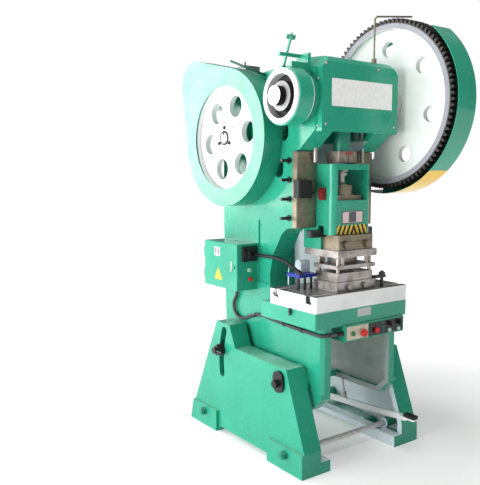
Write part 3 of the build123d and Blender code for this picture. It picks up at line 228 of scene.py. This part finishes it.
def plastic(name, colour, rough=0.35):
    """Moulded plastic or rubber with a faint grain."""
    graph = Graph(name)
    base = graph.mix(graph.noise(60.0), shade(colour, 0.82), shade(colour, 1.15))
    graph.bump(graph.noise(420.0), 0.00005)
    return graph.finish(base, graph.plus(graph.times(graph.noise(90.0), 0.15), rough - 0.07))


def bolster_finish():
    """Ground top dark with oil, white painted sides."""
    graph, base, shine = enamel("bolster_finish", WHITE, 0.34)
    up = graph.ramp(graph.facing(2), 0.5, 0.9)
    marks = graph.noise(300.0, 2.0, (0.03, 1.0, 1.0))
    patches = graph.ramp(graph.noise(16.0, 4.0), 0.35, 0.68)
    top = graph.mix(patches, (0.040, 0.036, 0.032), (0.17, 0.16, 0.155))
    top = graph.mix(graph.times(graph.ramp(marks, 0.5, 0.75), 0.5), top, (0.42, 0.41, 0.40))
    smudge = graph.times(graph.ramp(graph.noise(9.0, 5.0), 0.58, 0.80), 0.35)
    side = graph.mix(smudge, base, (0.32, 0.30, 0.27))
    return graph.finish(graph.mix(up, side, top), shine)


def gear_finish():
    """Greased dark teeth, grey machined rim face and a pale painted web."""
    graph = Graph("gear_finish")
    radius = graph.radius(CRANK_Y, CRANK_Z)
    cloud = graph.noise(12.0, 4.0)
    web = graph.mix(cloud, (0.62, 0.66, 0.64), (0.80, 0.83, 0.81))
    rim = graph.mix(graph.noise(240.0, 2.0), (0.20, 0.20, 0.23), (0.40, 0.40, 0.44))
    grease = graph.mix(graph.noise(60.0, 4.0), (0.008, 0.008, 0.009), (0.060, 0.055, 0.050))
    colour = graph.mix(graph.ramp(radius, 0.3385, 0.3395), web, rim)
    colour = graph.mix(graph.ramp(radius, 0.360, 0.3640), colour, grease)
    colour = graph.mix(graph.ramp(radius, 0.0875, 0.089), (0.30, 0.30, 0.31), colour)
    graph.bump(graph.noise(70.0, 4.0), 0.0003)
    return graph.finish(colour, graph.plus(graph.times(cloud, 0.25), 0.30))


def drum_finish():
    """White annulus, a near-black recess that is painted shade, and bright hub."""
    graph = Graph("drum_finish")
    radius = graph.radius(CRANK_Y, CRANK_Z)
    white = graph.mix(graph.noise(20.0, 4.0), (0.62, 0.64, 0.63), (0.80, 0.81, 0.80))
    # Painted shade: the drum's recess inside the annulus is near black
    colour = graph.mix(graph.ramp(radius, 0.0885, 0.0905), (0.012, 0.012, 0.012), white)
    colour = graph.mix(graph.ramp(radius, 0.060, 0.061), (0.34, 0.34, 0.34), colour)
    graph.bump(graph.noise(90.0), 0.0001)
    return graph.finish(colour, 0.60)


def gear_guard_finish():
    """Green sheet with a yellow warning patch low at the front."""
    graph, base, shine = enamel("guard_finish", GREEN, 0.28, 0.0002)
    low = graph.ramp(graph.axis(2), 1.270, 1.266)
    front = graph.ramp(graph.axis(1), -0.300, -0.304)
    outside = graph.ramp(graph.radius(CRANK_Y, CRANK_Z), 0.4060, 0.4072)
    patch = graph.times(graph.times(low, front), outside)
    return graph.finish(graph.mix(patch, base, YELLOW), shine, coat=0.25)


def crank_finish():
    """Turned bright ends, darker oiled webs and a brake stub made near black as painted shade of its grooves.
    """
    graph = Graph("crank_finish")
    cloud = graph.noise(30.0, 4.0)
    bright_end = graph.mix(cloud, (0.42, 0.42, 0.42), (0.66, 0.66, 0.66))
    dark = graph.mix(cloud, (0.09, 0.085, 0.08), (0.20, 0.19, 0.18))
    graph.bump(graph.noise(260.0, 2.0, (1.0, 0.1, 0.1)), 0.00005)
    colour = graph.mix(graph.ramp(graph.size(graph.axis(0)), 0.1, 0.15), dark, bright_end)
    # Painted shade: the brake stub is near black, apart from its bright end face
    stub = graph.times(graph.ramp(graph.axis(0), -0.3500, -0.3510),
                       graph.ramp(graph.axis(0), -0.3836, -0.3832))
    return graph.finish(graph.mix(stub, colour, (0.010, 0.010, 0.012)), 0.38, metal=0.7)


def rod_finish():
    """Green barrel, oil-brown clamp with two red paint marks beside its slit."""
    graph = Graph("rod_finish")
    cloud = graph.noise(26.0, 5.0)
    brown = graph.mix(graph.ramp(cloud, 0.3, 0.7), (0.11, 0.085, 0.065), (0.34, 0.29, 0.24))
    barrel = graph.mix(cloud, (0.010, 0.150, 0.095), (0.018, 0.260, 0.165))
    colour = graph.mix(graph.ramp(graph.axis(2), 1.352, 1.354), brown, barrel)
    apart = graph.minus(graph.size(graph.minus(graph.axis(0), 0.002)), 0.014)
    marks = graph.math("LESS_THAN", graph.size(apart), 0.010)
    marks = graph.times(marks, graph.ramp(graph.axis(2), 1.3355, 1.3365))
    marks = graph.times(marks, graph.ramp(graph.axis(2), 1.3525, 1.3520))
    graph.bump(cloud, 0.0004)
    return graph.finish(graph.mix(graph.times(marks, 0.85), colour, (0.42, 0.012, 0.03)), 0.42, metal=0.25)


def stripe_finish():
    """Yellow and black warning bands, leaning together at the middle."""
    graph = Graph("stripe_finish")
    slant = graph.plus(graph.size(graph.minus(graph.axis(0), 0.010)), graph.times(graph.axis(2), 0.45))
    phase = graph.math("FRACT", graph.times(slant, 1 / 0.026))
    bands = graph.math("GREATER_THAN", phase, 0.5)
    wear = graph.times(graph.ramp(graph.noise(80.0, 4.0), 0.60, 0.75), 0.5)
    colour = graph.mix(bands, (0.80, 0.56, 0.05), (0.012, 0.012, 0.012))
    return graph.finish(graph.mix(wear, colour, (0.30, 0.28, 0.22)), 0.45)


def floor_glow_and_shadow():
    """Pale floor that emits light: dimmest near the machine, a painted shadow round it, whiter away from it,
    and lighting the machine from below.
    """
    graph = Graph("floor_glow_and_shadow")
    # Painted light and shadow: the floor's emission grows with distance from the machine
    away = graph.ramp(graph.length(graph.axis(0), graph.axis(1)), 0.8, 3.2)
    painted_glow = graph.plus(graph.times(away, 0.72), 0.25)
    graph.shader.inputs["Emission Color"].default_value = (1.0, 1.0, 1.0, 1.0)
    graph.link(painted_glow, graph.shader.inputs["Emission Strength"])
    return graph.finish((0.80, 0.80, 0.80), 0.9)


def casting_finish():
    """Green casting, its hollow side left in pale primer up to the head."""
    graph, base, shine = enamel("casting_finish", GREEN, 0.30)
    low = graph.ramp(graph.axis(2), 1.402, 1.398)
    grey = graph.mix(graph.noise(9.0, 4.0), (0.30, 0.36, 0.34), (0.46, 0.50, 0.48))
    primer = graph.mix(graph.ramp(graph.axis(2), 0.640, 0.690), grey, (0.56, 0.66, 0.68))
    return graph.finish(graph.mix(graph.times(graph.inward(), low), base, primer), shine, coat=0.15)


def leg_finish():
    """Green leg with a pale primed inner side and ledge."""
    graph, base, shine = enamel("leg_finish", GREEN, 0.30)
    near = graph.ramp(graph.size(graph.axis(0)), 0.2515, 0.2510)
    ledge = graph.times(near, graph.ramp(graph.facing(2), 0.5, 0.9))
    inner = graph.math("MAXIMUM", graph.inward(), ledge)
    primer = graph.mix(graph.noise(7.0, 4.0), (0.62, 0.72, 0.76), (0.78, 0.86, 0.90))
    return graph.finish(graph.mix(inner, base, primer), shine, coat=0.15)


def tie_finish():
    """Bright rods whose end nuts carry the legs' paint, in a darker copy of the green that is painted shade."""
    # Painted shade: the nuts' green is the legs' green darkened to 70 per cent
    graph, base, shine = enamel("tie_finish", shade(GREEN, 0.70), 0.34)
    nut = graph.ramp(graph.size(graph.axis(0)), LEG_FACE_X, LEG_FACE_X + 0.0005)
    rod = graph.mix(graph.noise(60.0, 2.0), (0.46, 0.46, 0.45), (0.70, 0.70, 0.69))
    return graph.finish(graph.mix(nut, rod, base), shine, metal=0.15)


def panel_finish():
    """Green box with a cream and a black plate on its front."""
    graph, base, shine = enamel("panel_finish", GREEN, 0.32)
    plate = graph.ramp(graph.axis(1), -0.4304, -0.4308)
    dark = graph.ramp(graph.axis(0), 0.0205, 0.0210)
    cream = graph.mix(graph.noise(60.0, 3.0), (0.50, 0.42, 0.30), (0.68, 0.62, 0.50))
    colour = graph.mix(dark, cream, (0.020, 0.016, 0.018))
    return graph.finish(graph.mix(plate, base, colour), shine)


def sensor_finish():
    """Blue plate, pale box above it, dark posts below."""
    graph = Graph("sensor_finish")
    height = graph.axis(2)
    cloud = graph.noise(40.0, 3.0)
    pale = graph.mix(cloud, (0.42, 0.52, 0.56), (0.60, 0.70, 0.74))
    plate = graph.mix(cloud, (0.006, 0.018, 0.22), (0.010, 0.032, 0.36))
    colour = graph.mix(graph.ramp(height, 0.8055, 0.8058), (0.020, 0.020, 0.024), plate)
    colour = graph.mix(graph.ramp(height, 0.8202, 0.8206), colour, pale)
    return graph.finish(colour, 0.35)


def pin_finish():
    """Black outside, primed at the hidden inner end."""
    graph, base, shine = enamel("pin_finish", BLACK, 0.40)
    inner = graph.ramp(graph.size(graph.axis(0)), 0.2500, 0.2490)
    primer = graph.mix(graph.noise(30.0, 3.0), (0.28, 0.33, 0.31), (0.38, 0.42, 0.40))
    return graph.finish(graph.mix(inner, base, primer), shine)


def hose_finish():
    """Black corrugated hose, its rings laid by place along the run, their colour swinging from near black to
    grey as painted shade and highlight of the ribs.
    """
    graph = Graph("ribbed_hose")
    rings = graph.waves(55.0, "Y")
    # Painted shade and highlight: the rings alternate near black and grey along with the ribs' bump
    colour = graph.mix(rings, (0.003, 0.004, 0.004), (0.100, 0.104, 0.105))
    graph.bump(rings, 0.0012)
    return graph.finish(colour, 0.40)


paint = plain_enamel("green_enamel", GREEN)
# Belt guard in a darker copy of the green: painted shade that tones down the left lamp's light on it
guard_shaded_paint = plain_enamel("guard_shaded_enamel", shade(GREEN, 0.80))
white_paint = plain_enamel("white_enamel", WHITE, 0.33, 0.00015)
dark_green = plain_enamel("dark_green_enamel", shade(GREEN, 0.30), 0.40)
black_paint = plain_enamel("black_enamel", BLACK, 0.40)
motor_paint = plain_enamel("motor_enamel", (0.10, 0.16, 0.15), 0.40)
bright = steel("bright_steel", STEEL, 0.22, (1.0, 0.1, 0.1))
bright_z = steel("ground_steel", STEEL, 0.24, (1.0, 1.0, 0.08))
oiled = steel("oiled_steel", (0.27, 0.235, 0.17), 0.34, (0.1, 1.0, 1.0), amount=0.75)
die_steel = steel("die_steel", (0.42, 0.395, 0.375), 0.27, (0.1, 1.0, 1.0), amount=0.70)
bronze = steel("bronze", (0.45, 0.27, 0.10), 0.30, amount=0.3)
dark_iron = steel("dark_iron", (0.055, 0.055, 0.06), 0.42, amount=0.3)
rubber = plastic("rubber", (0.018, 0.018, 0.018), 0.62)
black_plastic = plastic("black_plastic", (0.014, 0.014, 0.015), 0.38)
red_plastic = plastic("red_plastic", RED, 0.26)
dark_red = plastic("dark_red", (0.20, 0.010, 0.010), 0.40)
green_plastic = plastic("green_plastic", (0.010, 0.16, 0.055), 0.28)
lens = plastic("lamp_lens", (0.34, 0.60, 0.44), 0.18)
grey_label = plastic("grey_label", (0.46, 0.50, 0.49), 0.35)
pink_label = plastic("pink_label", (0.66, 0.52, 0.52), 0.35)
dark_label = plastic("dark_label", (0.085, 0.095, 0.095), 0.35)
pale_label = plastic("pale_label", (0.80, 0.80, 0.78), 0.35)
yellow_label = plastic("yellow_label", (0.62, 0.42, 0.04), 0.42)
tube_black = plastic("tube_black", (0.006, 0.006, 0.007), 0.50)

# Which nodes of the CAD model wear each finish
wearers = [
    (paint, "head_cover brake_band brake_rod motor_plate electrical_box slide box_door"),
    (guard_shaded_paint, "belt_guard"),
    (white_paint, "pedal_lever flywheel"),
    (black_paint, "clamp_bolts gib_screws die_clamps knockout_bar"),
    (motor_paint, "motor"),
    (leg_finish(), "stand_left stand_right"),
    (tie_finish(), "tie_rods"),
    (pin_finish(), "pivot_pins"),
    (casting_finish(), "c_frame"),
    (bolster_finish(), "bolster"),
    (gear_guard_finish(), "gear_guard"),
    (panel_finish(), "control_panel"),
    (sensor_finish(), "sensor_box"),
    (crank_finish(), "crankshaft"),
    (drum_finish(), "brake_drum"),
    (rod_finish(), "connecting_rod"),
    (gear_finish(), "bull_gear"),
    (bright, "drive_shaft"),
    (bright_z, "pedal_spring pull_rod stop_screws adjusting_screw clutch_rod"),
    (oiled, "gibs oil_pipe rod_cap shank_clamp ball_seat"),
    (die_steel, "lower_die upper_die"),
    (bronze, "bearing_bushes"),
    (dark_iron, "pinion motor_pulley"),
    (rubber, "pedal_tread v_belts"),
    (black_plastic, "isolator_base conduit_fittings isolator_knob selector_left selector_right"),
    (tube_black, "trip_switch conduit_feed conduit_panel"),
    (red_plastic, "start_button red_button e_stop"),
    (green_plastic, "green_button"),
    (dark_red, "trip_dog"),
    (lens, "indicator_lamps"),
]
for material, names in wearers:
    for name in names.split():
        nodes[name].data.materials.clear()
        nodes[name].data.materials.append(material)


# Mesh helpers: every added piece is bevelled, turned or swept
def add(name, mesh, body, *materials):
    data = bpy.data.meshes.new(name)
    mesh.to_mesh(data)
    mesh.free()
    for material in materials:
        data.materials.append(material)
    piece = bpy.data.objects.new(name, data)
    bpy.context.scene.collection.objects.link(piece)
    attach(piece, body)
    return piece


def block(mesh, low, high, bevel=0.001, material=0):
    """Bevelled box between two corners in metres."""
    made = bmesh.ops.create_cube(mesh, size=1.0)["verts"]
    size = [b - a for a, b in zip(low, high)]
    middle = [(b + a) / 2 for a, b in zip(low, high)]
    bmesh.ops.scale(mesh, vec=size, verts=made)
    bmesh.ops.translate(mesh, vec=middle, verts=made)
    edges = {edge for vertex in made for edge in vertex.link_edges}
    faces = {face for vertex in made for face in vertex.link_faces}
    for face in faces:
        face.material_index = material
    if bevel:
        bmesh.ops.bevel(mesh, geom=list(edges), offset=bevel, segments=2, affect="EDGES", material=material)


AXES = {"x": Matrix.Rotation(math.pi / 2, 4, "Y"), "-x": Matrix.Rotation(-math.pi / 2, 4, "Y"),
        "-y": Matrix.Rotation(math.pi / 2, 4, "X"), "y": Matrix.Rotation(-math.pi / 2, 4, "X"),
        "z": Matrix.Identity(4), "-z": Matrix.Rotation(math.pi, 4, "X")}


def turned(mesh, centre, axis, profile, steps=32, material=0):
    """Round piece from (height, radius) pairs along an axis out of a surface."""
    turn = Matrix.Translation(centre) @ AXES[axis]
    rings = []
    for height, radius in profile:
        if radius < 1e-6:
            rings.append([mesh.verts.new(turn @ Vector((0, 0, height)))])
            continue
        ring = []
        for step in range(steps):
            angle = 2 * math.pi * step / steps
            place = Vector((radius * math.cos(angle), radius * math.sin(angle), height))
            ring.append(mesh.verts.new(turn @ place))
        rings.append(ring)
    for lower, upper in zip(rings, rings[1:]):
        for step in range(steps):
            corners = []
            for ring, at in ((lower, step), (lower, step + 1), (upper, step + 1), (upper, step)):
                vertex = ring[at % len(ring)]
                if vertex not in corners:
                    corners.append(vertex)
            if len(corners) > 2:
                face = mesh.faces.new(corners)
                face.material_index = material
                face.smooth = True


def bolt_head(mesh, centre, axis, across, high, material=0):
    """Hexagon head on a washer, its top edge turned off."""
    washer = [(0, 0), (0, across * 0.68), (high * 0.18, across * 0.66), (high * 0.20, 0)]
    turned(mesh, centre, axis, washer, 24, material)
    corner = across / 2 / math.cos(math.pi / 6)
    head = [(high * 0.2, 0), (high * 0.2, corner), (high * 0.92, corner), (high, corner * 0.90), (high, 0)]
    turned(mesh, centre, axis, head, 6, material)
    for face in mesh.faces:
        if len(face.verts) == 4 and face.calc_area() > across * high * 0.2:
            face.smooth = False


def bolt_circle(mesh, side, axis, centre, radius, angles, across, high):
    """Bolt heads on a circle round a shaft that lies along X."""
    for angle in angles:
        turn = math.radians(angle)
        place = (side, centre[0] + radius * math.cos(turn), centre[1] + radius * math.sin(turn))
        bolt_head(mesh, place, axis, across, high)


def pan_head(mesh, centre, axis, radius, material=0):
    """Domed screw head with a driver recess."""
    profile = [(0, 1.0), (0.35, 0.95), (0.62, 0.62), (0.66, 0.30), (0.34, 0.22), (0.34, 0)]
    turned(mesh, centre, axis, [(h * radius, r * radius) for h, r in profile], 16, material)


def thread(mesh, centre, axis, radius, length, pitch):
    """Screw thread as a row of close ridges over a rod."""
    profile = []
    turns = int(length / pitch)
    for turn in range(turns):
        profile += [(turn * pitch, radius + 0.0001), (turn * pitch + pitch * 0.5, radius + pitch * 0.42)]
    profile.append((turns * pitch, radius + 0.0001))
    turned(mesh, centre, axis, profile, 24)


# Plates and labels, all bare
mesh = bmesh.new()
block(mesh, (-0.091, SLIDE_FACE_Y - 0.0008, 0.992), (0.091, SLIDE_FACE_Y, 1.031), 0.0002)
add("chevron_plate", mesh, "ram", stripe_finish())

mesh = bmesh.new()
block(mesh, (-0.173, HOOD_FACE_Y - 0.0013, 1.532), (0.188, HOOD_FACE_Y + 0.0005, 1.644), 0.0006)
for x in (-0.165, 0.180):
    for z in (1.540, 1.636):
        pan_head(mesh, (x, HOOD_FACE_Y - 0.0013, z), "-y", 0.003)
add("hood_plate", mesh, "frame", pale_label)

mesh = bmesh.new()
block(mesh, (-0.064, SLIDE_FACE_Y - 0.0012, 1.038), (0.066, SLIDE_FACE_Y, 1.094), 0.0004, 1)
block(mesh, (-0.059, SLIDE_FACE_Y - 0.0018, 1.042), (0.061, SLIDE_FACE_Y - 0.0010, 1.090), 0.0004)
block(mesh, (-0.022, SLIDE_FACE_Y - 0.0024, 1.044), (0.022, SLIDE_FACE_Y - 0.0016, 1.088), 0.0004, 1)
for x in (-0.074, 0.076):
    for z in (1.034, 1.098):
        pan_head(mesh, (x, SLIDE_FACE_Y - 0.0002, z), "-y", 0.0026, 2)
add("slide_plate", mesh, "ram", pink_label, dark_label, bright)

mesh = bmesh.new()
block(mesh, (-0.038, APRON_FACE_Y, 0.641), (0.045, APRON_FACE_Y + 0.0014, 0.676), 0.0005)
for x in (-0.033, 0.040):
    pan_head(mesh, (x, APRON_FACE_Y, 0.6585), "-y", 0.0022)
add("apron_plate", mesh, "frame", grey_label)


def triangle_plate(name, body, side, corners, material, rounded):
    """Thin three-cornered plate on a face that looks along -X."""
    thick = 0.0008
    made = bmesh.new()
    face = made.faces.new([made.verts.new((side, y, z)) for y, z in corners])
    out = bmesh.ops.extrude_face_region(made, geom=[face])["geom"]
    moved = [item for item in out if isinstance(item, bmesh.types.BMVert)]
    bmesh.ops.translate(made, vec=(-thick, 0, 0), verts=moved)
    edges = [e for e in made.edges if abs(e.verts[0].co.x - e.verts[1].co.x) > thick / 2]
    bmesh.ops.bevel(made, geom=edges, offset=rounded, segments=3, affect="EDGES")
    bmesh.ops.recalc_face_normals(made, faces=made.faces)
    return add(name, made, body, material)


triangle_plate("door_triangle", "door", DOOR_FACE_X, [(0.231, 0.752), (0.165, 0.752), (0.198, 0.812)],
               yellow_label, 0.004)
triangle_plate("bolster_triangle", "frame", BOLSTER_SIDE_X, [(-0.133, 0.722), (-0.163, 0.722), (-0.148, 0.744)],
               dark_label, 0.002)

mesh = bmesh.new()
block(mesh, (DOOR_FACE_X - 0.0009, 0.186, 0.866), (DOOR_FACE_X + 0.0001, 0.232, 0.906), 0.0004)
for low in (0.190, 0.204, 0.218):
    block(mesh, (DOOR_FACE_X - 0.0013, low, 0.870), (DOOR_FACE_X - 0.0007, low + 0.009, 0.902), 0.0003, 1)
add("door_label", mesh, "door", pale_label, dark_label)

mesh = bmesh.new()
block(mesh, (DOOR_FACE_X - 0.0021, 0.084, 0.800), (DOOR_FACE_X + 0.0004, 0.094, 0.852), 0.001)
barrel = [(0, 0.0045), (0.003, 0.0042), (0.004, 0.003), (0.004, 0)]
turned(mesh, (DOOR_FACE_X - 0.0016, 0.089, 0.806), "-x", barrel, 16)
add("door_lock", mesh, "door", bright)

# Fixing screws of the sheet covers
mesh = bmesh.new()
for x, z in ((-0.206, 1.700), (-0.206, 1.458), (0.206, 1.458), (0.100, 1.700)):
    pan_head(mesh, (x, HOOD_FACE_Y, z), "-y", 0.0055)
for y in (-0.360, -0.180):
    for z in (1.450, 1.640):
        pan_head(mesh, (-HOOD_SIDE_X, y, z), "-x", 0.0055)
        pan_head(mesh, (HOOD_SIDE_X, y, z), "x", 0.0055)
add("hood_screws", mesh, "frame", bright)

mesh = bmesh.new()
bolt_circle(mesh, GEAR_GUARD_FACE_X, "x", (CRANK_Y, CRANK_Z), 0.352, (142, 172, 202, 232, 262), 0.013, 0.007)
bolt_circle(mesh, GEAR_GUARD_FACE_X, "x", (DRIVE_Y, DRIVE_Z), 0.098, (-40, 10, 60), 0.013, 0.007)
add("gear_guard_bolts", mesh, "frame", dark_iron)

# Flywheel hub screws, clamp ring and key
mesh = bmesh.new()
bolt_circle(mesh, FLYWHEEL_HUB_X, "-x", (DRIVE_Y, DRIVE_Z), 0.048, (90, 210, 330), 0.014, 0.008)
ring = [(0.0, 0.034), (0.005, 0.034), (0.006, 0.033), (0.006, 0.024), (0.002, 0.022), (0.002, 0)]
turned(mesh, (FLYWHEEL_HUB_X + 0.0007, DRIVE_Y, DRIVE_Z), "-x", ring, 40)
block(mesh, (FLYWHEEL_HUB_X - 0.0073, DRIVE_Y - 0.005, DRIVE_Z + 0.012),
      (FLYWHEEL_HUB_X - 0.0003, DRIVE_Y + 0.005, DRIVE_Z + 0.033), 0.0008)
add("flywheel_hub_bolts", mesh, "drive", dark_iron)

# Grease nipple on the right guide strip
mesh = bmesh.new()
nipple = [(0, 0.0048), (0.007, 0.0048), (0.0075, 0.003), (0.013, 0.0028),
          (0.0145, 0.0036), (0.018, 0.003), (0.019, 0)]
turned(mesh, (0.146, -0.226, 1.350), "z", nipple, 16)
add("grease_nipple", mesh, "frame", bronze)

# Stay over the belt guard, with its pin
mesh = bmesh.new()
stay_low = Vector((-0.332, 0.112, 1.763))
reach = Vector((-0.232, -0.020, 1.692)) - stay_low
lay = Matrix.Translation(stay_low) @ reach.to_track_quat("Z", "Y").to_matrix().to_4x4()
rod = [(0, 0), (0, 0.004), (0.001, 0.005), (reach.length, 0.005), (reach.length, 0)]
turned(mesh, (0, 0, 0), "z", rod, 16)
bmesh.ops.transform(mesh, matrix=lay, verts=mesh.verts)
pin = [(0, 0), (0, 0.0035), (0.026, 0.0035), (0.027, 0.0028), (0.027, 0)]
turned(mesh, (-0.290, 0.0566, 1.728), "z", pin, 16)
add("guard_stay", mesh, "frame", dark_green)

# Bolts of the plate on the crank's end
mesh = bmesh.new()
bolt_circle(mesh, CRANK_END_X, "x", (CRANK_Y, CRANK_Z), 0.036, (45, 135, 225, 315), 0.017, 0.009)
add("crank_end_bolts", mesh, "crank", dark_iron)

# Thread on the adjusting screw
mesh = bmesh.new()
thread(mesh, (0, CRANK_Y, 1.2815), "z", 0.0168, 0.021, 0.003)
add("screw_thread", mesh, "screw", bright)


# Black hoses: the same control points as the tubes of the CAD model
def hose(name, points, material):
    curve = bpy.data.curves.new(name, "CURVE")
    curve.dimensions = "3D"
    curve.bevel_depth = HOSE_THICK / 2
    curve.bevel_resolution = 5
    spline = curve.splines.new("NURBS")
    spline.points.add(len(points) - 1)
    for point, place in zip(spline.points, points):
        point.co = (place[0] * MM, place[1] * MM, place[2] * MM, 1.0)
    spline.order_u = 3
    spline.use_endpoint_u = True
    spline.resolution_u = 10
    curve.materials.append(material)
    made = bpy.data.objects.new(name, curve)
    bpy.context.scene.collection.objects.link(made)
    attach(made, "frame")
    return made


HOSE_THICK = 0.016
feed_points = [(-262, 22, 884), (-262, -62, 884), (-255, -140, 884), (-239, -204, 864), (-222, -236, 834)]
panel_points = [(-243, 187, 701), (-243, 187, 668), (-242, 221, 628), (-241, 212, 574), (-241, 155, 551),
                (-241, 76, 583), (-241, 3, 604), (-241, -110, 593), (-241, -240, 586), (-240, -345, 583),
                (-240, -419, 580), (-160, -419, 580)]
hose_feed = hose("feed_hose", feed_points, tube_black)
hose_panel = hose("panel_hose", panel_points, hose_finish())
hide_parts("conduit_feed")
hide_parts("conduit_panel")


# Studio: a glowing pale floor whose emission is painted light, dimmer near the machine as a painted shadow, and
# white behind it for the camera alone
mesh = bmesh.new()
mesh.faces.new([mesh.verts.new(corner) for corner in ((-30, -30, 0), (30, -30, 0), (30, 30, 0), (-30, 30, 0))])
sheet = bpy.data.meshes.new("floor")
mesh.to_mesh(sheet)
mesh.free()
sheet.materials.append(floor_glow_and_shadow())
floor = bpy.data.objects.new("floor", sheet)
bpy.context.scene.collection.objects.link(floor)

world = bpy.data.worlds.new("studio")
bpy.context.scene.world = world
world.use_nodes = True
tree = world.node_tree
sky = tree.nodes["Background"]
sky.inputs["Color"].default_value = (1.0, 1.0, 1.0, 1.0)
sky.inputs["Strength"].default_value = 0.20
white = tree.nodes.new("ShaderNodeBackground")
white.inputs["Color"].default_value = (1.0, 1.0, 1.0, 1.0)
white.inputs["Strength"].default_value = 1.0
ray = tree.nodes.new("ShaderNodeLightPath")
blend = tree.nodes.new("ShaderNodeMixShader")
tree.links.new(ray.outputs["Is Camera Ray"], blend.inputs[0])
tree.links.new(sky.outputs[0], blend.inputs[1])
tree.links.new(white.outputs[0], blend.inputs[2])
tree.links.new(blend.outputs[0], tree.nodes["World Output"].inputs["Surface"])


def lamp(name, place, aim, size, watts):
    """White soft box at a place, turned to its aim."""
    data = bpy.data.lights.new(name, "AREA")
    data.shape = "RECTANGLE"
    data.size, data.size_y = size
    data.energy = watts
    made = bpy.data.objects.new(name, data)
    made.location = place
    made.rotation_euler = (Vector(aim) - Vector(place)).to_track_quat("-Z", "Y").to_euler()
    bpy.context.scene.collection.objects.link(made)


# A wide light from the left, a sheen on the upper left faces, and two soft fills
lamp("left_light", (-4.2, 0.2, 1.1), (0, 0, 1.0), (3.0, 2.6), 195)
lamp("sheen_light", (-2.7, 3.8, 2.0), (-0.3, 0.1, 1.4), (2.5, 2.3), 165)
lamp("top_light", (-0.6, -0.6, 4.4), (0, 0, 0.9), (3.0, 3.0), 95)
lamp("front_light", (0.4, -4.2, 1.8), (0, 0, 0.9), (2.4, 2.4), 6)

# Camera fitted to the photograph's view
view = bpy.data.cameras.new("photo_camera")
view.lens = 47.96
view.sensor_width = 36
view.shift_x = -0.006
view.shift_y = -0.005
camera = bpy.data.objects.new("photo_camera", view)
camera.location = (-2.0359, -2.3536, 1.2573)
camera.rotation_euler = (math.radians(84.08), 0.0, math.radians(-35.72))
bpy.context.scene.collection.objects.link(camera)
bpy.context.scene.camera = camera
bpy.context.scene.view_settings.view_transform = "Standard"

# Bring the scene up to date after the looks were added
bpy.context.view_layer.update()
